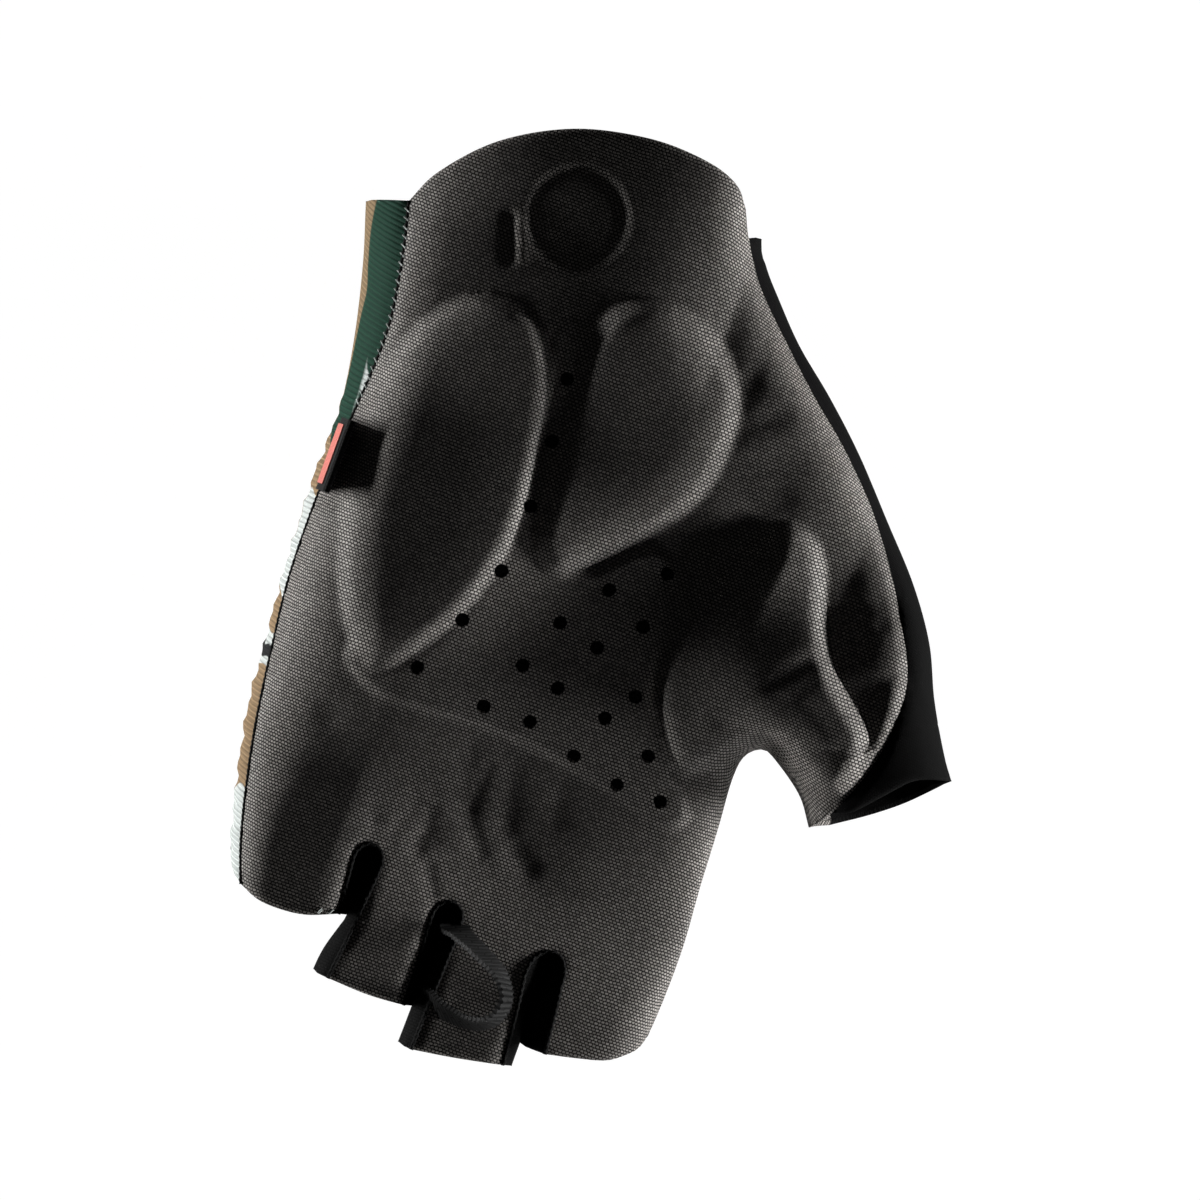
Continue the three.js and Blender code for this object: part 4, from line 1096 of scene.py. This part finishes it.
# %% Little finger
little_tip = on(ulnar_fold, (-47.2, -66.4))
tip_round = curve([ends["little"][-1], (-45.4, -69.6), little_tip])
seam_down = between(ulnar_seam, little_root[0], ends["little"][-1])
little_top = [
    (line(*little_root), "seam"),
    (edge_right["little"], "seam"),
    (ends["little"], "cut"),
    (seam_down[::-1], "seam"),
]
front = panel("little_front", leather, little_top, folds=finger_folds["little"])
fasten(front, "little")
little_lip = [
    (seam_down, "seam"),
    (tip_round, "cut"),
    (between(ulnar_fold, little_tip, ulnar_root), "fold"),
    (line(ulnar_root, little_root[0]), "seam"),
]
little_under = [
    (between(ulnar_fold, ulnar_root, little_tip), "fold"),
    (tip_round[::-1], "cut"),
    (ends["little"][::-1], "cut"),
    (edge_right["little"][::-1], "seam"),
    (line(little_root[1], ulnar_root), "seam"),
]
rear = panel("little_back", knit, little_lip, little_under, finger_folds["little"])
fasten(rear, "little")
strip = side_strip(edge_right["little"], little_right)
made = panel("little_radial_side", stretch, strip, strip, finger_folds["little"], relief=False)
fasten(made, "little")

# %% Index finger
index_tip = ends["index"][0]
lip_tip = on(web_lip, ends["index"][4])
front = panel(
    "index_front", leather,
    [
        (line(*index_root), "seam"),
        (between(web_fold, index_root[1], index_tip), "fold"),
        (ends["index"], "cut"),
        (edge_left["index"][::-1], "seam"),
    ],
    [
        (between(web_fold, index_tip, index_root[1]), "fold"),
        (line(index_root[1], index_lip_root), "seam"),
        (between(web_lip, index_lip_root, lip_tip), "seam"),
        (np.vstack([lip_tip, ends["index"][3::-1]]), "cut"),
    ],
    finger_folds["index"],
)
fasten(front, "index")
rear = panel(
    "index_back", knit,
    under=[
        (line(index_root[0], index_lip_root), "seam"),
        (between(web_lip, index_lip_root, lip_tip), "seam"),
        (np.vstack([lip_tip, ends["index"][5:]]), "cut"),
        (edge_left["index"][::-1], "seam"),
    ],
    folds=finger_folds["index"], relief=False,
)
fasten(rear, "index")
strip = side_strip(edge_left["index"], index_left)
made = panel("index_ulnar_side", stretch, strip, strip, finger_folds["index"], relief=False)
fasten(made, "index")

# %% Webs between the fingers
for name, crotch, slit in zip(("little_web", "ring_web", "middle_web"), crotches, slit_folds):
    outline = [(crotch, "seam"), (line(crotch[-1], crotch[0]), "seam")]
    rows = [beside(slit, side * away) for away in FOLD_ROWS[:5] for side in (-1, 1)]
    made = panel(name, stretch, outline, outline, relief=False, guides=rows)
    fasten(made)

# %% [markdown]
# ## Thumb
# The leather front ends in a slant, and the black back wraps round the outer side and runs a little
# further, so that its hem shows below the leather.

# %% Thumb panels
front_end = line(radial_seam[-1], on(web_fold, thumb_point(4, 16.3)))
outer_tip = on(radial_fold, thumb_point(30.6, 17.2))
hem_line = curve([
    radial_seam[-1], thumb_point(11, 15.9), thumb_point(17.6, 15.1), thumb_point(23.3, 14.4),
    thumb_point(27, 15.4), outer_tip,
])
lip_end = on(web_lip, thumb_point(8.5, 17.6))
front = panel(
    "thumb_front", leather,
    [
        (line(thumb_inner, thumb_seam_base), "seam"),
        (between(radial_seam, thumb_seam_base, radial_seam[-1]), "seam"),
        (front_end, "cut"),
        (between(web_fold, front_end[-1], thumb_inner), "fold"),
    ],
    [
        (between(web_fold, thumb_inner, front_end[-1]), "fold"),
        (line(front_end[-1], lip_end), "cut"),
        (between(web_lip, lip_end, thumb_lip), "seam"),
        (line(thumb_lip, thumb_inner), "seam"),
    ],
)
fasten(front, "thumb")
under_end = curve([outer_tip, thumb_point(27, 17.9), thumb_point(21, 18.5), thumb_point(14, 18.3), lip_end])
rear = panel(
    "thumb_back", microfibre,
    [
        (line(thumb_seam_base, thumb_outer), "seam"),
        (between(radial_fold, thumb_outer, outer_tip), "fold"),
        (hem_line[::-1], "cut"),
        (between(radial_seam, radial_seam[-1], thumb_seam_base), "seam"),
    ],
    [
        (line(thumb_outer, thumb_lip), "seam"),
        (between(web_lip, thumb_lip, lip_end), "seam"),
        (under_end[::-1], "cut"),
        (between(radial_fold, outer_tip, thumb_outer), "fold"),
    ],
)
fasten(rear, "thumb")

# %% [markdown]
# ## Hems and cuff band
# A narrow tape lines each open end from inside, and an elastic band lines the cuff of the back. They are
# panels like the others, sunk by the thickness of the cloth that covers them.

# %% Hem tapes
HEM, LITTLE_HEM = 7.0, 5.5
UNDER_CLOTH = 1.15


def hem_ring(name, end, folds, inward, width=HEM):
    """Tape between two folds, from just inside an end line. The line runs from folds[0] to folds[1]."""
    rings = []
    for shift in (0.5, width):
        path = end + shift * np.array(inward)
        first, last = on(folds[0], path[0]), on(folds[1], path[-1])
        rings.append(np.vstack([first, path[1:-1], last]))
    near, far = rings
    outline = [
        (near, "seam"),
        (between(folds[1], near[-1], far[-1]), "fold"),
        (far[::-1], "seam"),
        (between(folds[0], far[0], near[0]), "fold"),
    ]
    return panel(name, tape, outline, outline, folds, wall=0.6, sink=UNDER_CLOTH, relief=False)


full_ends = {
    "little": np.vstack([tip_round[::-1][:-1], ends["little"][::-1], on(little_right, (-22.6, -70.4))]),
    "ring": np.vstack([on(ring_left, (-25, -82.2)), ends["ring"][::-1], on(ring_right, (-5.5, -82.3))]),
    "middle": np.vstack([
        on(middle_left, (-5.6, -90)), ends["middle"][::-1], on(middle_right, (15.8, -86.2)),
    ]),
    "index": np.vstack([on(index_left, (15.8, -82.2)), ends["index"][::-1]]),
}
for finger, end in full_ends.items():
    width = LITTLE_HEM if finger == "little" else HEM
    made = hem_ring(f"{finger}_hem", evenly(end, 1.2), finger_folds[finger], (0, 1), width)
    fasten(made, finger)
thumb_ring = np.vstack([front_end[::-1], hem_line[1:]])
made = hem_ring("thumb_hem", thumb_ring, [web_fold, radial_fold], -thumb_along)
fasten(made, "thumb")

# %% Cuff band
cuff_line = line(CUFF_LEFT, CUFF_RIGHT)
cuff_in = np.array([0.25, -0.968])
bands = []
for shift in (0.6, 7.6):
    path = cuff_line + shift * cuff_in
    bands.append(np.vstack([on(ulnar_fold, path[0]), path[1:-1], on(radial_fold, path[-1])]))
band = panel(
    "cuff_band", tape,
    under=[
        (bands[0], "seam"),
        (between(radial_fold, bands[0][-1], bands[1][-1]), "fold"),
        (bands[1][::-1], "seam"),
        (between(ulnar_fold, bands[1][0], bands[0][0]), "fold"),
    ],
    wall=0.8, sink=UNDER_CLOTH,
)
fasten(band)

# %% [markdown]
# ## Inside the palm
# Three gel pads raise the palm, a foam sheet lies under the perforations, and a jersey lining covers both
# towards the hand. They show in the holes and through the cuff.

# %% Foam and lining
foam_sheet = panel(
    "palm_foam", foam_finish, [(closed_loop(foam_loop), "seam")],
    wall=1.1, sink=0.35, step=2.0, relief=False,
)
fasten(foam_sheet)
lining_loop = curve([
    (-51, 52), (-48, 36), (-48, 20), (-49.5, 2), (-49.5, -14), (-48, -30), (-45, -48), (-30, -53),
    (-8, -56), (15, -58), (32, -56), (32.5, -40), (31.5, -24), (33, -13), (40, -9), (48, -11), (55, -3),
    (55, 6), (48, 18), (39, 29), (27, 41), (13, 52), (3, 64), (-4, 73), (-18, 78), (-34, 74), (-46, 65),
], closed=True)
lining = panel(
    "palm_lining", jersey, [(closed_loop(lining_loop), "seam")],
    wall=0.7, sink=3.0, step=2.2, relief=False,
)
fasten(lining)

# %% Gel pads
gel, tree, shader, cloth = new_finish("gel", 0.35)
milky = place(tree, "ShaderNodeTexNoise", {"Vector": cloth, "Scale": 0.2, "Detail": 3.0}).outputs["Fac"]
milk = mixed(tree, milky, (0.05, 0.09, 0.12, 1), (0.08, 0.14, 0.18, 1))
tree.links.new(milk, shader.inputs["Base Color"])
PAD_INSET, PAD_CLEAR, LEAST_PAD = 0.9, 0.1, 0.2  # in from the raised edge, off the cloth, and in height
gel_loops = dict(pad_loops)
gel_loops["thumb_pad"] = curve([
    (29, 24.6), (36, 21.5), (40.4, 12), (45, 4), (43, -4), (34, -10), (26, -21),
    (20.5, -15), (18.4, -5), (20, 12),
], closed=True)
for name, loop in gel_loops.items():
    rim = closed_loop(beside(closed_loop(loop), winding(loop) * PAD_INSET)[:-1])
    plan, triangles = flat_panel([(rim, "seam")], 2.0)
    skin = top_height(plan, hand_folds) - UNDER_CLOTH - PAD_CLEAR
    below = np.minimum(top_height(plan, hand_folds, relief=False), skin) - LEAST_PAD
    points = np.vstack([np.column_stack([plan, skin]), np.column_stack([plan, below])])
    faces = both_sides(facing(plan, triangles, True), len(plan))
    places = cloth_places(plan)
    pad = new_piece(name + CLOTH, points, faces, gel, np.vstack([places, places]))
    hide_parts(name)
    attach(pad, "hand")

# %% [markdown]
# ## Overlocked edges
# The leather's edges between the fingers are overlocked with black thread, which looks like a thin rope.
# A tube with two twisted lobes gives that. Each rope follows the panel that it edges.

# %% Ropes of thread
overlock = black_cloth("overlock_thread", 0.006, 0.4, 0.5, 0.1, 0.6, 0.0)
ROPE_SIDES = 10


def sweep(path, rings):
    """A closed tube: rings(run, angle) gives the offset across and up for each place of the path."""
    run = run_along(path)
    along = unit(np.gradient(path, axis=0))
    side = unit(np.cross(along, (0, 0, 1)))
    rise = np.cross(side, along)
    angles = np.linspace(0, 2 * math.pi, ROPE_SIDES, endpoint=False)
    points = []
    for k in range(len(path)):
        across, up_by = rings(run[k], angles)
        points.append(path[k] + across[:, None] * side[k] + up_by[:, None] * rise[k])
    faces = []
    for k in range(len(path) - 1):
        for j in range(ROPE_SIDES):
            a, b = k * ROPE_SIDES + j, k * ROPE_SIDES + (j + 1) % ROPE_SIDES
            faces.append((a, b, b + ROPE_SIDES, a + ROPE_SIDES))
    faces.append(tuple(range(ROPE_SIDES))[::-1])
    faces.append(tuple(range((len(path) - 1) * ROPE_SIDES, len(path) * ROPE_SIDES)))
    flat = np.zeros(len(path) * ROPE_SIDES)
    cloth = np.column_stack([np.tile(angles, len(path)), np.repeat(run, ROPE_SIDES), flat])
    return np.vstack(points), faces, cloth


def twisted(radius, pitch):
    def rings(run, angles):
        size = radius * (0.85 + 0.2 * np.cos(2 * angles - 2 * math.pi * run / pitch))
        return size * np.cos(angles), size * np.sin(angles)
    return rings


def rope(name, plan, folds, finger=None, radius=0.45, pitch=1.3, lift=0.05):
    plan = evenly(plan, 0.3)
    path = np.column_stack([plan, top_height(plan, folds) + lift])
    points, faces, cloth = sweep(path, twisted(radius, pitch))
    piece = new_piece(name, points, faces, overlock, cloth)
    follow(piece, finger)


for name, crotch in zip(("first", "second", "third"), crotches):
    rope(f"{name}_crotch_overlock", crotch, hand_folds)
for finger, edge in edge_right.items():
    rope(f"{finger}_radial_overlock", edge, finger_folds[finger], finger)
for finger, edge in edge_left.items():
    rope(f"{finger}_ulnar_overlock", edge, finger_folds[finger], finger)

# %% Stitches of the little finger's side seam
white_thread, tree, shader, cloth = new_finish("seam_thread", 0.6)
shader.inputs["Base Color"].default_value = (0.5, 0.54, 0.52, 1)
STITCH, STITCH_PITCH = 1.1, 1.7


def stitches(name, seam, folds, finger=None):
    """Short bars of thread that lean across a seam."""
    points, faces, places = [], [], []
    middles = evenly(seam, STITCH_PITCH)[1:-1]
    along = unit(np.gradient(middles, axis=0))
    for middle, way in zip(middles, along):
        across = np.array([-way[1], way[0]])
        start = middle - (0.35 * way + 0.5 * across) * STITCH
        end = middle + (0.35 * way + 0.25 * across) * STITCH
        plan = evenly(np.array([start, end]), 0.3)
        path = np.column_stack([plan, top_height(plan, folds) + 0.12])
        bar, sides, cloth = sweep(path, twisted(0.2, 9.0))
        faces += [tuple(k + sum(map(len, points)) for k in side) for side in sides]
        points.append(bar)
        places.append(cloth)
    piece = new_piece(name, np.vstack(points), faces, white_thread, np.vstack(places))
    follow(piece, finger)


STITCHED_TO = (-52.6, 18)
stitches("wrist_side_stitches", between(ulnar_seam, flap_edge[0], STITCHED_TO), hand_folds)
end_corner = np.array([(-29.2, -71.6), (-23.6, -69.9)])
stitches("little_end_stitches", evenly(end_corner, 0.5), finger_folds["little"], "little")
thin = {"radius": 0.34, "pitch": 1.1, "lift": -0.05}
rope("hand_side_overlock", between(ulnar_seam, flap_edge[0], little_root[0]), hand_folds, **thin)
rope("little_side_overlock", seam_down, finger_folds["little"], "little", **thin)

# %% [markdown]
# ## Pull loop and label
# A ribbed ribbon stands in a loop over the middle finger, and a small folded tape with a coral face is
# sewn into the little finger's side. Both are strips swept along a bent line.

# %% Strips
def strip_mesh(path, width_way, width, wall, ribs=0.0, rib_pitch=1.0, columns=8):
    """A flat strip along a path: width_way is its width's direction, wall its thickness."""
    run = run_along(path)
    along = unit(np.gradient(path, axis=0))
    wide = np.broadcast_to(np.array(width_way, float), path.shape)
    wide = unit(wide - (wide * along).sum(1)[:, None] * along)
    out = np.cross(along, wide)
    across = np.linspace(-0.5, 0.5, columns) * width
    swell = wall / 2 * (1 + ribs * np.cos(2 * math.pi * run / rib_pitch))
    flat = path[:, None] + across[None, :, None] * wide[:, None]
    bulge = swell[:, None, None] * out[:, None]
    points = np.vstack([(flat + bulge).reshape(-1, 3), (flat - bulge).reshape(-1, 3)])
    count = len(path) * columns
    faces = []
    for k in range(len(path) - 1):
        for j in range(columns - 1):
            a = k * columns + j
            faces.append((a, a + columns, a + columns + 1, a + 1))
            faces.append((a + count, a + 1 + count, a + columns + 1 + count, a + columns + count))
    grid = np.arange(count).reshape(len(path), columns)
    rim = np.concatenate([grid[:, 0], grid[-1, 1:], grid[-2::-1, -1], grid[0, -2:0:-1]]).tolist()
    for a, b in zip(rim, rim[1:] + rim[:1]):
        faces.append((b, a, a + count, b + count))
    cloth = np.column_stack([np.tile(across, len(path)), np.repeat(run, columns), np.zeros(count)])
    return points, faces, np.vstack([cloth, cloth])


# %% Pull loop
ribbon_finish = black_cloth("ribbon", 0.015, 1.0, 9.0, 0.3, 0.45, 0.0)
ribbon_path = curve([
    (-3.4, -65.6, 22.4), (-1.0, -66.4, 26.0), (2.9, -67.9, 29.8), (8.0, -70.6, 33.2), (10.6, -74.6, 34.4),
    (9.4, -78.8, 33.2), (5.6, -80.8, 30.4), (0.6, -80.6, 26.4), (-3.2, -79.6, 21.8),
], step=0.2)
RIBBON_WIDTH, RIBBON_WALL, RIB_PITCH = 5.4, 0.8, 1.0
RIBBON_LEAN, RIBBON_STAND = 0.3, 0.8  # how far its width leans in over the loop's eye, and stands up
LOOP_EYE = (3.6, -74.3, 0)
inward = np.array(LOOP_EYE) - ribbon_path
inward[:, 2] = 0
stand = unit(inward) * RIBBON_LEAN + np.array([0, 0, RIBBON_STAND])
points, faces, places = strip_mesh(ribbon_path, stand, RIBBON_WIDTH, RIBBON_WALL, 0.45, RIB_PITCH)
ribbon = new_piece("pull_loop_ribbon", points, faces, ribbon_finish, places)
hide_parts("pull_loop")
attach(ribbon, "pull_loop")
ribbon_length = float(run_along(ribbon_path)[-1])

# %% Folded label
LABEL_BASE = np.array([-53.97, 9.0, 27.0])
LABEL_HEIGHT, LABEL_LENGTH, LABEL_WALL, LABEL_GAP = 8.5, 14.0, 0.6, 0.45
LABEL_LEAN, LABEL_ROWS = 19, 23  # degrees towards the palm at its top, and rows of points up its height
lean = np.radians(np.linspace(0, LABEL_LEAN, LABEL_ROWS))
label_rise = np.column_stack([np.sin(lean), np.zeros(LABEL_ROWS), np.cos(lean)])
label_out = np.column_stack([-np.cos(lean), np.zeros(LABEL_ROWS), np.sin(lean)])
climb = np.cumsum(label_rise[1:], axis=0) * LABEL_HEIGHT / (LABEL_ROWS - 1)
middle_line = LABEL_BASE + np.vstack([[0, 0, 0], climb])
turn = [
    middle_line[-1] + LABEL_GAP * (math.cos(angle) * label_out[-1] + math.sin(angle) * label_rise[-1])
    for angle in np.linspace(0, math.pi, 7)[1:-1]
]
half_gap = LABEL_GAP * label_out
label_path = np.vstack([middle_line + half_gap, turn, (middle_line - half_gap)[::-1]])
label_finish = black_cloth("label_tape", 0.012, 0.5, 0.7, 0.1, 0.7, 0.1)
points, faces, places = strip_mesh(label_path, (0, 1, 0), LABEL_LENGTH, LABEL_WALL, columns=16)
label = new_piece("side_label_tape", points, faces, label_finish, places)
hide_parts("side_label")
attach(label, "side_label")
label_run = float(run_along(label_path)[-1])
coral, tree, shader, cloth = new_finish("label_face", 0.7, sheen=0.2)
thread, _ = woven(tree, cloth, row=0.4, dash=0.5, gap=0.08, wander=0.1)
dye = mixed(tree, thread, (0.40, 0.07, 0.055, 1), (0.70, 0.19, 0.15, 1))
tree.links.new(dye, shader.inputs["Base Color"])
raise_bump(tree, shader, thread, 0.4, 0.12)
FACE_OUT = LABEL_GAP + LABEL_WALL / 2 + 0.1
face_path = middle_line[5:-2] + FACE_OUT * label_out[5:-2]
points, faces, places = strip_mesh(face_path, (0, 1, 0), LABEL_LENGTH - 2.4, 0.25, columns=14)
face = new_piece("side_label_face", points, faces, coral, places)
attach(face, "side_label")

# %% [markdown]
# ## Stage
# A plain pale floor, broad soft lights at the level of the glove and a weak fill from above: the low light
# shapes the pads and the folds, as in the picture.

# %% Floor, lights and world
FLOOR_SIZE = 4.0
floor_mesh = bpy.data.meshes.new("floor")
corners = [(x * FLOOR_SIZE, y * FLOOR_SIZE, 0) for x, y in ((-1, -1), (1, -1), (1, 1), (-1, 1))]
floor_mesh.from_pydata(corners, [], [(0, 1, 2, 3)])
floor = bpy.data.objects.new("floor", floor_mesh)
scene.collection.objects.link(floor)
pale = bpy.data.materials.new("pale_floor")
pale.use_nodes = True
tree = pale.node_tree
shader = tree.nodes["Principled BSDF"]
shader.inputs["Base Color"].default_value = (0.85, 0.85, 0.85, 1)
shader.inputs["Roughness"].default_value = 0.9
glow = place(tree, "ShaderNodeEmission", {"Color": (1, 1, 1, 1), "Strength": 1.1})
ray = tree.nodes.new("ShaderNodeLightPath")
seen = maths(tree, "MULTIPLY", ray.outputs["Is Camera Ray"], 0.9)
blend = place(tree, "ShaderNodeMixShader", {0: seen, 1: shader.outputs[0], 2: glow.outputs[0]})
tree.links.new(blend.outputs[0], tree.nodes["Material Output"].inputs["Surface"])
floor_mesh.materials.append(pale)


def soft_light(name, place_at, size, power):
    lamp = bpy.data.lights.new(name, "AREA")
    lamp.shape = "RECTANGLE"
    lamp.size, lamp.size_y = size
    lamp.energy = power
    light = bpy.data.objects.new(name, lamp)
    light.location = place_at
    light.rotation_euler = (-Vector(place_at)).to_track_quat("-Z", "Y").to_euler()
    scene.collection.objects.link(light)


picture_right = Vector((math.cos(HAND_TURN), math.sin(HAND_TURN), 0))
picture_up = Vector((-math.sin(HAND_TURN), math.cos(HAND_TURN), 0))
up = Vector((0, 0, 1))
soft_light("left_light", -0.8 * picture_right + 0.1 * picture_up + 0.035 * up, (0.5, 0.045), 10.5)
soft_light("right_light", 0.8 * picture_right - 0.1 * picture_up + 0.043 * up, (0.4, 0.05), 13.5)
soft_light("low_light", 0.3 * picture_right - 0.75 * picture_up + 0.034 * up, (0.4, 0.06), 2.2)
soft_light("top_light", 0.2 * picture_up + 1.0 * up, (0.8, 0.8), 0.04)

world = bpy.data.worlds.new("studio")
scene.world = world
world.use_nodes = True
world.node_tree.nodes["Background"].inputs["Color"].default_value = (1, 1, 1, 1)
world.node_tree.nodes["Background"].inputs["Strength"].default_value = 0.016
scene.view_settings.view_transform = "Standard"
